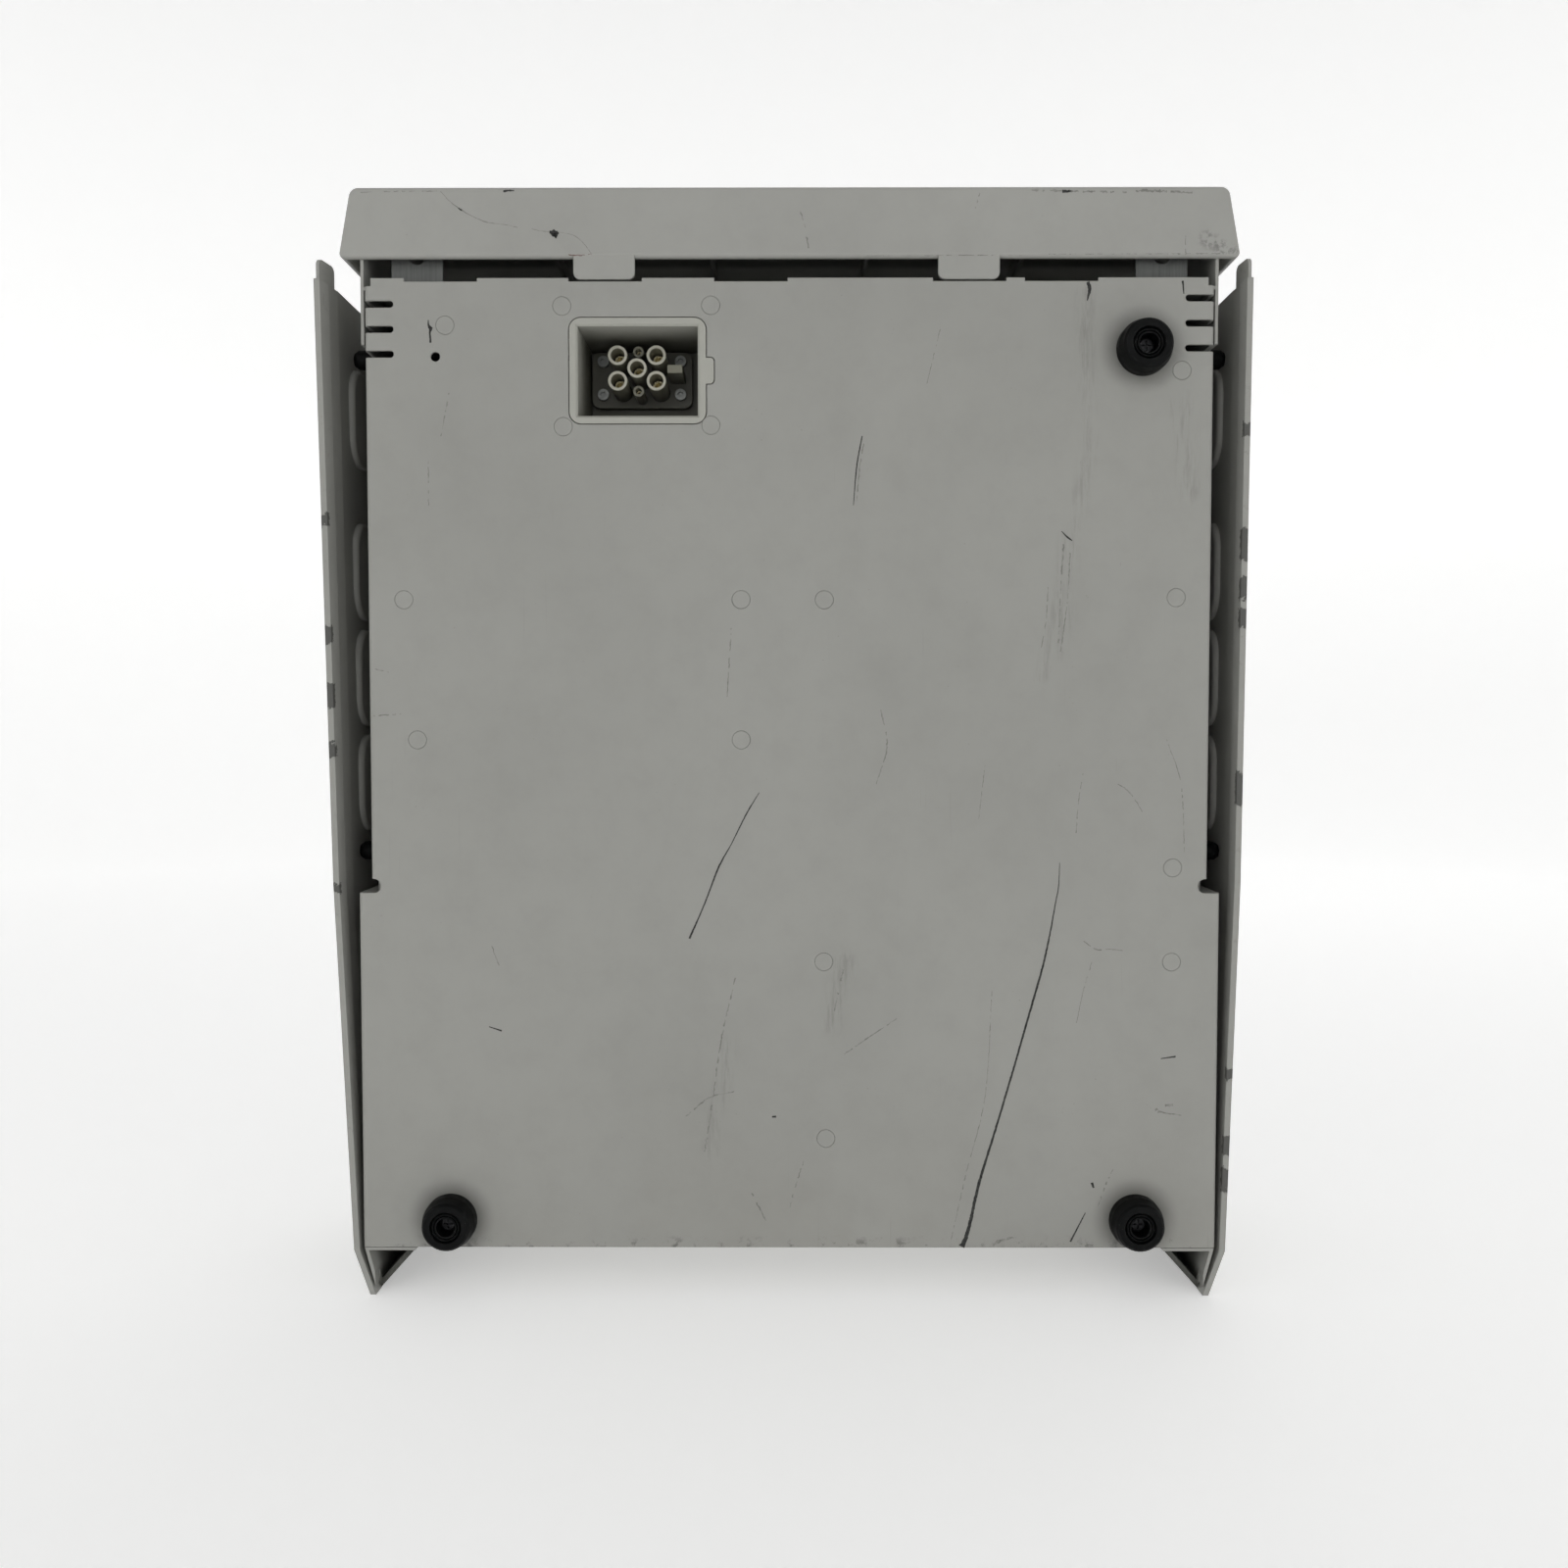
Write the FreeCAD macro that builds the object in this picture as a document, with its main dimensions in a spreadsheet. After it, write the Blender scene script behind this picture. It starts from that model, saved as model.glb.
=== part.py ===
import FreeCAD, Part
import math
import os
import re

import Sketcher
from FreeCAD import Placement, Rotation, Vector

# A wall-hung fire alarm control panel. +Z is up, the back plate faces +Y towards the wall, the
# front door faces -Y, and +X is on the right as seen from the front. The origin is at the middle
# of the footprint, level with the lowest edge. Millimetres throughout.

SIZES = {
    # sheet and shells
    "steel": 1.5,
    "hem": 2.8,
    "hem_reach": 9,
    "shell": 3,
    # where the main planes lie, front to back
    "back_y": 73,
    "front_y": -47,
    "door_back": -49,
    "door_front": -69,
    # back chassis
    "upper_half": 197,
    "lower_half": 203,
    "floor_z": 23.1,
    "roof_z": 478.6,
    "wall_top": 473.5,
    "step_low": 192.6,
    "step_high": 199.2,
    "relief_x": 192.5,
    "notch_wide": 34,
    "notch_deep": 1.6,
    "rim": 12,
    "slot_end": 183.5,
    "slot_wide": 3.2,
    "slot_wrap": 20,
    "stud_hole": 4.3,
    "stud_head": 4.2,
    "stud_post": 3,
    "stud_tall": 8,
    "screw_hole": 2.2,
    # hood
    "hood_low": 487.9,
    "hood_top": 520.1,
    "hood_half_low": 209,
    "hood_half_top": 203.2,
    "hood_front": -70,
    "hood_round": 4.5,
    "tab_wide": 28.4,
    "tab_low": 478,
    # top frame
    "frame_z": 474,
    "frame_half": 199.5,
    "frame_low": 448.8,
    "frame_high": 505,
    "gland_hole": 10.2,
    "gland_y": 5,
    "gland_across": 28,
    "bracket_near": 162,
    "bracket_far": 186,
    "bracket_y": 66,
    "bracket_rise": 18,
    # side covers
    "cover_front": -46,
    "cover_top": 478.6,
    "bend_y": 53,
    "tongue_tall": 10,
    "tongue_near": 56,
    "tongue_far": 70.5,
    "louvre_tall": 48,
    "louvre_wide": 34,
    "louvre_out": 2.6,
    "louvre_y": 23,
    # feet and buffers
    "foot_r": 12.5,
    "foot_tall": 12,
    "buffer_r": 5.5,
    "buffer_long": 13.1,
    "buffer_y": 45.5,
    # docking well and connector
    "well_x": 70.3,
    "well_z": 436.1,
    "well_half_x": 27.9,
    "well_half_z": 20.6,
    "flange_half_x": 31.75,
    "flange_half_z": 24.3,
    "well_wall": 2,
    "well_deep": 50,
    "dock_x": 72.7,
    "dock_z": 442.3,
    "dock_half_x": 24.7,
    "dock_half_z": 13.6,
    "dock_thick": 5,
    "tube_long": 25,
    "tube_r": 4.6,
    "tube_bore": 3.3,
    "pilot_r": 2.6,
    "pilot_bore": 1.5,
    "tube_pitch_x": 18.5,
    "tube_pitch_z": 12.1,
    "pilot_rise": 9.4,
    # door, hinge and latch
    "door_half": 203,
    "door_low": 25.5,
    "door_high": 484,
    "window_half": 163,
    "window_low": 263,
    "window_high": 453,
    "hinge_x": -207,
    "hinge_y": -52,
    "knuckle_r": 4,
    "pin_r": 2,
    "pin_gap": 0.05,
    "latch_x": 172,
    "latch_z": 215,
    "latch_r": 9,
    "spindle_r": 5,
    # operator plate, bezel and buttons
    "plate_y": -45.3,
    "plate_low": 245,
    "plate_high": 470,
    "plate_half": 194.5,
    "bezel_half": 158,
    "bezel_low": 268,
    "bezel_high": 448,
    "bezel_front": -53,
    "bezel_wall": 3,
    "board_y": -42.9,
    "board_thick": 1.6,
    "button_z": 300,
    "button_wide": 24,
    "button_tall": 13,
    "button_gap": 0.4,
    "button_proud": 3.5,
    "display_low": 346,
    "display_high": 424,
    "display_left": -142,
    "display_right": -8,
    "lens_r": 2.6,
    "switch_x": 122,
    "switch_r": 9,
    "rotor_r": 6.5,
    # boards and supplies
    "battery_wide": 151,
    "battery_deep": 65,
    "battery_tall": 94,
    "battery_back": 62,
    "supply_left": 34,
    "supply_right": 184,
    "supply_low": 134,
    "supply_high": 246,
    "supply_front": 30,
    "strap_low": 73.1,
    "strap_high": 95.1,
    "strap_left": -196,
    "strap_right": 121,
    # mains inlet
    "mains_x": 158,
    "mains_left": 128,
    "mains_right": 198,
    "mains_low": 36,
    "mains_high": 118,
    "mains_front": -12,
    "rocker_y": -9,
    "rocker_z": 92,
    "rocker_half": 10.8,
    "trunnion_r": 1.5,
    "fuse_x": 144,
    "fuse_z": 58,
    "earth_x": 188,
    "earth_z": 140,
}

doc = FreeCAD.newDocument("fire_alarm_panel")
sheet = doc.addObject("Spreadsheet::Sheet", "Dims")
for row, (alias, size) in enumerate(SIZES.items(), start=1):
    sheet.set(f"A{row}", alias)
    sheet.set(f"B{row}", str(size))
    sheet.setAlias(f"B{row}", alias)
doc.recompute()

WORD = re.compile(r"[a-z_]+")
TURN = {
    "X": Rotation(Vector(0, 1, 0), 90),
    "Y": Rotation(Vector(1, 0, 0), -90),
    "Z": Rotation(),
}
ALONG = {"X": Vector(1, 0, 0), "Y": Vector(0, 1, 0), "Z": Vector(0, 0, 1)}
NODES = []


# ---------------------------------------------------------------- helpers

def formula(text):
    """The text with every dimension named in it pointed at the sheet."""
    return WORD.sub(lambda hit: "Dims." + hit.group() if hit.group() in SIZES else hit.group(),
                    str(text))


def bind(thing, prop, text):
    thing.setExpression(prop, formula(text))


def place(thing, x, y, z):
    for letter, text in zip("xyz", (x, y, z)):
        bind(thing, f"Placement.Base.{letter}", text)


def block(x, y, z):
    """A box given by its low and high formula on each axis."""
    box = doc.addObject("Part::Box", "Block")
    for prop, (low, high) in zip(("Length", "Width", "Height"), (x, y, z)):
        bind(box, prop, f"({high}) - ({low})")
    place(box, x[0], y[0], z[0])
    return box


def rod(axis, x, y, z, radius, length, tip=None):
    """A cylinder along an axis, or a cone when it has a tip radius."""
    kind = "Part::Cylinder" if tip is None else "Part::Cone"
    round_bar = doc.addObject(kind, "Rod")
    round_bar.Placement = Placement(Vector(), TURN[axis])
    if tip is None:
        bind(round_bar, "Radius", radius)
    else:
        bind(round_bar, "Radius1", radius)
        bind(round_bar, "Radius2", tip)
    bind(round_bar, "Height", length)
    place(round_bar, x, y, z)
    return round_bar


def hexagon(axis, x, y, z, across, length):
    """A hexagonal bar of the stated width across its corners."""
    bar = doc.addObject("Part::Prism", "Hexagon")
    bar.Polygon = 6
    bar.Placement = Placement(Vector(), TURN[axis])
    bind(bar, "Circumradius", f"({across}) / 2")
    bind(bar, "Height", length)
    place(bar, x, y, z)
    return bar


def join(*parts):
    if len(parts) == 1:
        return parts[0]
    fused = doc.addObject("Part::MultiFuse", "Join")
    fused.Shapes = list(parts)
    fused.Refine = True
    return fused


def cut(base, *tools):
    carved = doc.addObject("Part::Cut", "Cut")
    carved.Base = base
    carved.Tool = join(*tools)
    carved.Refine = True
    return carved


def bundle(parts):
    """Identical pieces kept as separate solids of one node."""
    held = doc.addObject("Part::Compound", "Bundle")
    held.Links = list(parts)
    return held


def edges_of(shape, axis, where=None):
    """Numbers of the straight edges that run along an axis and whose middle passes a test."""
    found = []
    for number, edge in enumerate(shape.Edges, start=1):
        if len(edge.Vertexes) != 2:
            continue
        chord = edge.Vertexes[1].Point - edge.Vertexes[0].Point
        straight = abs(chord.Length - edge.Length) < 1e-6
        aligned = abs(chord.dot(ALONG[axis])) > 0.999 * chord.Length
        if not (straight and aligned):
            continue
        if where is None or where(edge.CenterOfMass):
            found.append(number)
    return found


def soften(base, radius, axes, where=None):
    """Round the chosen straight edges of a solid made of primitives."""
    doc.recompute()
    numbers = [n for axis in axes for n in edges_of(base.Shape, axis, where)]
    soft = doc.addObject("Part::Fillet", "Soft")
    soft.Base = base
    soft.Edges = [(n, radius, radius) for n in numbers]
    return soft


def outline(body, role, points, offset="0"):
    """A closed sketch on one of the body's own planes, each corner held by two dimensions."""
    sketch = body.newObject("Sketcher::SketchObject", "Outline")
    plane = next(f for f in body.Origin.OriginFeatures if f.Role == role)
    sketch.AttachmentSupport = [(plane, "")]
    sketch.MapMode = "FlatFace"
    bind(sketch, "AttachmentOffset.Base.z", offset)
    count = len(points)
    ring = [Vector(math.cos(math.tau * i / count), math.sin(math.tau * i / count), 0)
            for i in range(count)]
    for i in range(count):
        sketch.addGeometry(Part.LineSegment(ring[i], ring[(i + 1) % count]), False)
    for i in range(count):
        sketch.addConstraint(Sketcher.Constraint("Coincident", i, 2, (i + 1) % count, 1))
    for i, corner in enumerate(points):
        for kind, text in zip(("DistanceX", "DistanceY"), corner):
            number = sketch.addConstraint(Sketcher.Constraint(kind, -1, 1, i, 1, 1.0))
            bind(sketch, f"Constraints[{number}]", text)
    return sketch


def rectangle(x, y):
    return [(x[0], y[0]), (x[1], y[0]), (x[1], y[1]), (x[0], y[1])]


def new_body(label):
    return doc.addObject("PartDesign::Body", label)


def pad(body, sketch, length):
    """Material from the sketch along its plane's normal."""
    feature = body.newObject("PartDesign::Pad", "Pad")
    feature.Profile = sketch
    bind(feature, "Length", length)
    return feature


def pocket(body, sketch, length, reverse=False):
    feature = body.newObject("PartDesign::Pocket", "Pocket")
    feature.Profile = sketch
    bind(feature, "Length", length)
    feature.Reversed = reverse
    return feature


def round_edges(body, radius, axes, where=None):
    """A fillet on the tip's straight edges that run along the axes."""
    doc.recompute()
    tip = body.Tip
    numbers = [n for axis in axes for n in edges_of(tip.Shape, axis, where)]
    fillet = body.newObject("PartDesign::Fillet", "Fillet")
    fillet.Base = (tip, [f"Edge{n}" for n in numbers])
    bind(fillet, "Radius", radius)
    return fillet


def spin(body, points):
    """A solid of revolution about Z from (radius, height) corners."""
    sketch = outline(body, "XZ_Plane", points)
    turned = body.newObject("PartDesign::Revolution", "Revolution")
    turned.Profile = sketch
    turned.ReferenceAxis = (sketch, ["V_Axis"])
    turned.Angle = 360
    return turned


def node(label, thing):
    thing.Label = label
    NODES.append(thing)
    return thing


def tube_along(label, corners, radius, bend):
    """A round lead through the corners, straight runs joined by tangent arcs."""
    wire = bent_wire([Vector(*corner) for corner in corners], bend)
    first = wire.OrderedEdges[0]
    start = first.valueAt(first.FirstParameter)
    ring = Part.Wire(Part.makeCircle(radius, start, first.tangentAt(first.FirstParameter)))
    lead = doc.addObject("Part::Feature", label)
    lead.Shape = wire.makePipeShell([ring], True, True)
    return lead


def bent_wire(corners, bend):
    edges = []
    start = corners[0]
    for before, corner, after in zip(corners, corners[1:], corners[2:]):
        come = (corner - before).normalize()
        leave = (after - corner).normalize()
        reach = bend * math.tan(come.getAngle(leave) / 2)
        enter = corner - come * reach
        exit_point = corner + leave * reach
        inward = (leave - come).normalize()
        middle = corner + inward * (math.hypot(bend, reach) - bend)
        edges.append(Part.LineSegment(start, enter).toShape())
        edges.append(Part.Arc(enter, middle, exit_point).toShape())
        start = exit_point
    edges.append(Part.LineSegment(start, corners[-1]).toShape())
    return Part.Wire(edges)


# ---------------------------------------------------------------- back chassis

SIDES = {"left": "-1", "right": "1"}
NOTCH_CENTRES = (161.6, 85.2, 17.7, -83.6, -126.1)
TAB_CENTRES = (85.7, -83.3)
SLOT_LEVELS = {"-1": (469.2, 457.7, 446.3), "1": (466.7, 455.2, 443.8)}
WELL_CORNER = 5.5
KEY_CORNER = 1.8
BUFFER_LEVELS = (447.8, 210.3)
FEET = ((-164.1, 445.9), (160.9, 36.4), (-164.6, 36.5))
SPARE_HOLE = (164.2, 442.6)
BOARD_STUDS = ((180.1, 330.3), (22.4, 330.3), (-16.5, 330.2), (-180.7, 331.2), (174.4, 264.8),
               (22.4, 264.8), (-180.5, 204.6), (-16.5, 160), (-180.5, 160), (-17.6, 75.6))
WELL_STUDS = ((105.3, 465.8), (36.3, 466), (105, 410.4), (36.3, 411), (159.6, 457), (-182.2, 436))


def side_span(side, near, far):
    """The X range from near to far on one side, low end first."""
    if side == "1":
        return near, far
    return f"-({far})", f"-({near})"


def back_chassis():
    """Folded pan: narrow upper walls, wider lower walls, open front with a narrow rim."""
    body = new_body("ChassisShell")
    upper = outline(body, "XZ_Plane", rectangle(("-upper_half", "upper_half"),
                                                ("floor_z", "roof_z")), "-back_y")
    pad(body, upper, "back_y - front_y")
    lower = outline(body, "XZ_Plane", rectangle(("-lower_half", "lower_half"),
                                                ("floor_z", "step_low")), "-back_y")
    pad(body, lower, "back_y - front_y")
    round_edges(body, "steel * 1.4", "Z", lambda c: c.y > SIZES["back_y"] - 0.1)
    upper_space = outline(body, "XZ_Plane",
                          rectangle(("-upper_half + steel", "upper_half - steel"),
                                    ("step_low - steel * 2", "roof_z + steel")),
                          "-back_y + steel")
    pocket(body, upper_space, "back_y - front_y", True)
    lower_space = outline(body, "XZ_Plane",
                          rectangle(("-lower_half + steel", "lower_half - steel"),
                                    ("floor_z + steel", "step_low - steel")),
                          "-back_y + steel")
    pocket(body, lower_space, "back_y - front_y", True)
    tools = [block(("-lower_half", "lower_half"), ("front_y - steel", "back_y - steel * 1.5"),
                   ("wall_top", "roof_z + steel"))]
    for centre in NOTCH_CENTRES:
        tools.append(block((f"{centre} - notch_wide / 2", f"{centre} + notch_wide / 2"),
                           ("back_y - steel * 2", "back_y + steel"),
                           ("roof_z - notch_deep", "roof_z + steel")))
    for side in SIDES.values():
        for level in SLOT_LEVELS[side]:
            span = side_span(side, "slot_end + slot_wide / 2", "upper_half + steel")
            tools.append(block(span, ("back_y - slot_wrap", "back_y + steel"),
                               (f"{level} - slot_wide / 2", f"{level} + slot_wide / 2")))
            tools.append(rod("Y", f"{side} * (slot_end + slot_wide / 2)", "back_y - steel * 3",
                             level, "slot_wide / 2", "steel * 4"))
        half = "(step_high - step_low) / 2"
        tools.append(block(side_span(side, f"relief_x + {half}", "lower_half + steel"),
                           ("back_y - rim", "back_y + steel"), ("step_low", "step_high")))
        tools.append(rod("Y", f"{side} * (relief_x + {half})", "back_y - rim",
                         f"step_low + {half}", half, "rim + steel"))
        tools.append(block(side_span(side, "upper_half - steel * 2", "upper_half + steel"),
                           ("back_y - steel * 3", "back_y + steel"),
                           ("wall_top + steel", "roof_z + steel")))
    well_gap = block(("well_x - flange_half_x - steel * 0.27",
                      "well_x + flange_half_x + steel * 0.27"),
                     ("back_y - steel * 2", "back_y + steel"),
                     ("well_z - flange_half_z - steel * 0.27",
                      "well_z + flange_half_z + steel * 0.27"))
    key_gap = block(("well_x - flange_half_x - 4.1", "well_x"),
                    ("back_y - steel * 2", "back_y + steel"), ("well_z - 6.4", "well_z + 6.4"))
    tools.append(soften(well_gap, WELL_CORNER + SIZES["steel"] * 0.27, "Y"))
    tools.append(soften(key_gap, KEY_CORNER + SIZES["steel"] * 0.27, "Y"))
    for x, z in FEET + (SPARE_HOLE,):
        tools.append(rod("Y", x, "back_y - steel * 2", z, "screw_hole", "steel * 4"))
    for x, z in BOARD_STUDS + WELL_STUDS:
        tools.append(rod("Y", x, "back_y - steel * 2", z, "stud_hole", "steel * 4"))
    shell = cut(body, *tools)
    rims = [shell]
    for side in SIDES.values():
        rims.append(block(side_span(side, "upper_half - rim", "upper_half - steel / 2"),
                          ("front_y", "front_y + steel"), ("step_low", "wall_top")))
        rims.append(block(side_span(side, "lower_half - rim - 6", "lower_half - steel / 2"),
                          ("front_y", "front_y + steel"), ("floor_z", "step_low")))
    rims.append(block(("-lower_half + rim", "lower_half - rim"),
                      ("front_y", "front_y + steel"), ("floor_z", "floor_z + rim")))
    node("back_chassis", join(*rims))


def clinch_standoffs():
    """A head flush in the plate and a post inside: tall under boards, short round the well."""
    made = []
    for length, places in (("stud_tall", BOARD_STUDS), ("3", WELL_STUDS)):
        for x, z in places:
            made.append(join(rod("Y", x, "back_y - steel", z, "stud_head", "steel"),
                             rod("Y", x, f"back_y - steel - {length}", z, "stud_post",
                                 f"{length} + steel / 2")))
    node("clinch_standoffs", bundle(made))


# ---------------------------------------------------------------- hood and top frame

def hood():
    """Moulded cap, open underneath, its ends drafted, with two tabs down over the plate."""
    body = new_body("HoodShell")
    ends = outline(body, "XZ_Plane", [("-hood_half_low", "hood_low"), ("hood_half_low", "hood_low"),
                                      ("hood_half_top", "hood_top"),
                                      ("-hood_half_top", "hood_top")], "-back_y")
    pad(body, ends, "back_y - hood_front")
    round_edges(body, "hood_round", "Y", lambda c: c.z > SIZES["hood_top"] - 1)
    round_edges(body, "hood_round / 3", "X", lambda c: c.z > SIZES["hood_top"] - 1)
    round_edges(body, "hood_round / 2", "Y", lambda c: c.z < SIZES["hood_low"] + 1)
    space = outline(body, "XZ_Plane",
                    [("-hood_half_low + shell", "hood_low - shell"),
                     ("hood_half_low - shell", "hood_low - shell"),
                     ("hood_half_top - shell", "hood_top - shell"),
                     ("-hood_half_top + shell", "hood_top - shell")], "-back_y + shell")
    pocket(body, space, "back_y - hood_front - shell * 2", True)
    pieces = [body]
    for centre in TAB_CENTRES:
        tab = block((f"{centre} - tab_wide / 2", f"{centre} + tab_wide / 2"),
                    ("back_y - shell * 0.8", "back_y - 0.2"), ("tab_low", "hood_low + shell"))
        pieces.append(soften(tab, 3.2, "Y", lambda c: c.z < SIZES["hood_low"] - 1))
    for x in (-120, -40, 40, 120):
        pieces.append(block((f"{x} - shell / 3", f"{x} + shell / 3"),
                            ("hood_front + shell / 2", "back_y - shell / 2"),
                            ("hood_top - shell * 3", "hood_top - shell / 2")))
    node("hood", join(*pieces))


def top_frame():
    """Cable-entry tray over the chassis, its sides standing up into the hood."""
    back = "back_y - steel * 2"
    tray = block(("-frame_half", "frame_half"), ("front_y", back),
                 ("frame_z", "frame_z + steel"))
    walls = [block(side_span(side, "frame_half - steel", "frame_half"), ("front_y", back),
                   ("frame_low", "frame_high")) for side in SIDES.values()]
    front = block(("-frame_half", "frame_half"), ("front_y", "front_y + steel"),
                  ("frame_z", "frame_high"))
    holes = [rod("Z", x, "gland_y", "frame_z - steel", "gland_hole", "steel * 4")
             for x in GLANDS + BLANKS]
    lightening = [block((f"{x} - 14", f"{x} + 14"), ("front_y - steel", "front_y + steel * 2"),
                        ("frame_z + 12", "frame_high - 8")) for x in range(-160, 161, 64)]
    clearance = [block(side_span(side, "frame_half - steel * 2", "frame_half + steel"),
                       ("buffer_y - buffer_r - 0.6", "buffer_y + buffer_r + 0.6"),
                       ("frame_low - steel", f"{BUFFER_LEVELS[0]} + buffer_r + 0.6"))
                 for side in SIDES.values()]
    node("top_frame", cut(join(tray, front, *walls), *holes, *lightening, *clearance))


GLANDS = (-150, -105, -60)
BLANKS = (-15, 30, 75, 120)


def cable_entries():
    glands = []
    for x in GLANDS:
        nut = hexagon("Z", x, "gland_y", "frame_z + steel + 0.1", "gland_across", 6)
        dome = rod("Z", x, "gland_y", "frame_z + steel + 5", 11, 14, tip=8)
        thread = rod("Z", x, "gland_y", "frame_z - 9", "gland_hole - 0.2", 16)
        ring = hexagon("Z", x, "gland_y", "frame_z - 5.1", "gland_across", 5)
        cable_way = rod("Z", x, "gland_y", "frame_z - 12", 5, 40)
        glands.append(cut(join(nut, dome, thread, ring), cable_way))
    node("cable_glands", bundle(glands))
    plugs = []
    for x in BLANKS:
        lip = rod("Z", x, "gland_y", "frame_z + steel + 0.1", 12.5, 1.6, tip=11.5)
        neck = rod("Z", x, "gland_y", "frame_z - 3", "gland_hole - 0.3", 6)
        hollow = rod("Z", x, "gland_y", "frame_z - 4", "gland_hole - 1.8", 4.6)
        plugs.append(cut(join(lip, neck), hollow))
    node("blanking_grommets", bundle(plugs))


def hood_brackets():
    """Folded brackets that carry the hood on the top frame."""
    made = []
    for side in SIDES.values():
        wide = side_span(side, "bracket_near", "bracket_far")
        middle = f"{side} * (bracket_near + bracket_far) / 2"
        foot = block(wide, ("bracket_y - 38", "bracket_y"),
                     ("frame_z + steel + 0.1", "frame_z + steel * 2 + 0.1"))
        web = block(wide, ("bracket_y - steel", "bracket_y"),
                    ("frame_z + steel + 0.1", "hood_low + bracket_rise"))
        shelf = block(wide, ("bracket_y - 26", "bracket_y"),
                      ("hood_low + bracket_rise - steel", "hood_low + bracket_rise"))
        eye = rod("Y", middle, "bracket_y - 6", "hood_low + 3", 4, 10)
        screw_way = rod("Z", middle, "bracket_y - 20", "frame_z", "screw_hole", 10)
        made.append(cut(join(foot, web, shelf), eye, screw_way))
    node("hood_brackets", bundle(made))


# ---------------------------------------------------------------- side covers and brackets

# Each cover's outer face at the hem, by height: (height, distance from the middle, flare at hem).
COVER_LEVELS = {
    "left": ((0, 199.9, 0.3), (21.6, 207.6, 0.4), (197.6, 212.6, 0.6), (478.6, 214.8, 1.6)),
    "right": ((0, 199.9, 0.3), (21.6, 207.4, 0.6), (197.6, 215, 1.8), (478.6, 220.4, 3.4)),
}
LOUVRE_CENTRES = (423.2, 348, 295.3, 242.9)


def cover_section(sign, height, reach, flare):
    """Plan outline of a cover at one height: hem, flare, main panel and front return."""
    t = SIZES["steel"]
    hem = SIZES["hem"]
    back = SIZES["back_y"]
    bend = SIZES["bend_y"]
    front = SIZES["cover_front"]
    hem_end = back - SIZES["hem_reach"]
    main = reach - flare
    at_hem_end = reach - flare * SIZES["hem_reach"] / (back - bend)
    inner = min(SIZES["lower_half"] + 0.6, main - t * 1.6)
    corners = [(reach, back), (main, bend), (main, front), (inner, front), (inner, front + t),
               (main - t, front + t), (main - t, bend), (at_hem_end - t, hem_end),
               (at_hem_end - hem, hem_end), (reach - hem, back)]
    loop = [Vector(sign * x, y, height) for x, y in corners]
    return Part.makePolygon(loop + loop[:1])


def level_reach(levels, height):
    """Main panel distance from the middle at a height, along the straight runs."""
    for (low, near, flare_low), (high, far, flare_high) in zip(levels, levels[1:]):
        if height <= high:
            share = (height - low) / (high - low)
            return near - flare_low + share * (far - flare_high - near + flare_low)
    return levels[-1][1] - levels[-1][2]


def cover_tongue(sign, level):
    """The flared panel carried up beside the hem at the top of a cover."""
    height, reach, flare = level
    thick = SIZES["steel"]
    ends = [(reach - flare * (SIZES["back_y"] - y) / (SIZES["back_y"] - SIZES["bend_y"]), y)
            for y in (SIZES["tongue_near"], SIZES["tongue_far"])]
    corners = ends + [(x - thick, y) for x, y in reversed(ends)]
    loop = [Vector(sign * x, y, height - thick) for x, y in corners]
    strip = doc.addObject("Part::Feature", "Tongue")
    face = Part.Face(Part.makePolygon(loop + loop[:1]))
    strip.Shape = face.extrude(Vector(0, 0, thick + SIZES["tongue_tall"]))
    return strip


def side_cover(name, side):
    """Hemmed sheet cover with four embossed louvres and a rounded tongue at the top."""
    sign = float(side)
    levels = COVER_LEVELS[name]
    skin = doc.addObject("Part::Feature", "CoverSkin")
    sections = [cover_section(sign, *level) for level in levels]
    skin.Shape = Part.makeLoft(sections, True, True)
    pieces = [skin]
    recesses = []
    for centre in LOUVRE_CENTRES:
        reach = level_reach(levels, centre)
        y_span = ("louvre_y - louvre_wide / 2", "louvre_y + louvre_wide / 2")
        z_span = (f"{centre} - louvre_tall / 2", f"{centre} + louvre_tall / 2")
        pillow = block(side_span(side, f"{reach} - steel - louvre_out", f"{reach} - steel * 0.55"),
                       y_span, z_span)
        inner_face = abs(reach) - SIZES["steel"] - SIZES["louvre_out"]
        pillow = soften(pillow, 14, "X")
        pillow = round_top(pillow, sign * inner_face, 2.2)
        pieces.append(pillow)
        shrink = "(steel * 1.1)"
        recess = block(side_span(side, f"{reach} - louvre_out", f"{reach} + steel * 2"),
                       (f"{y_span[0]} + {shrink}", f"{y_span[1]} - {shrink}"),
                       (f"{z_span[0]} + {shrink}", f"{z_span[1]} - {shrink}"))
        recesses.append(soften(recess, 12, "X"))
    pieces.append(soften(cover_tongue(sign, levels[-1]), 3, "X",
                         lambda c: c.z > SIZES["cover_top"] + 1))
    node(f"side_cover_{name}", cut(join(*pieces), *recesses))


def round_top(base, face_x, radius):
    """Round the rim of a pillow's raised face."""
    doc.recompute()
    numbers = [n for n, edge in enumerate(base.Shape.Edges, start=1)
               if abs(edge.CenterOfMass.x - face_x) < 1e-3]
    soft = doc.addObject("Part::Fillet", "Pillow")
    soft.Base = base
    soft.Edges = [(n, radius, radius) for n in numbers]
    return soft


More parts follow.
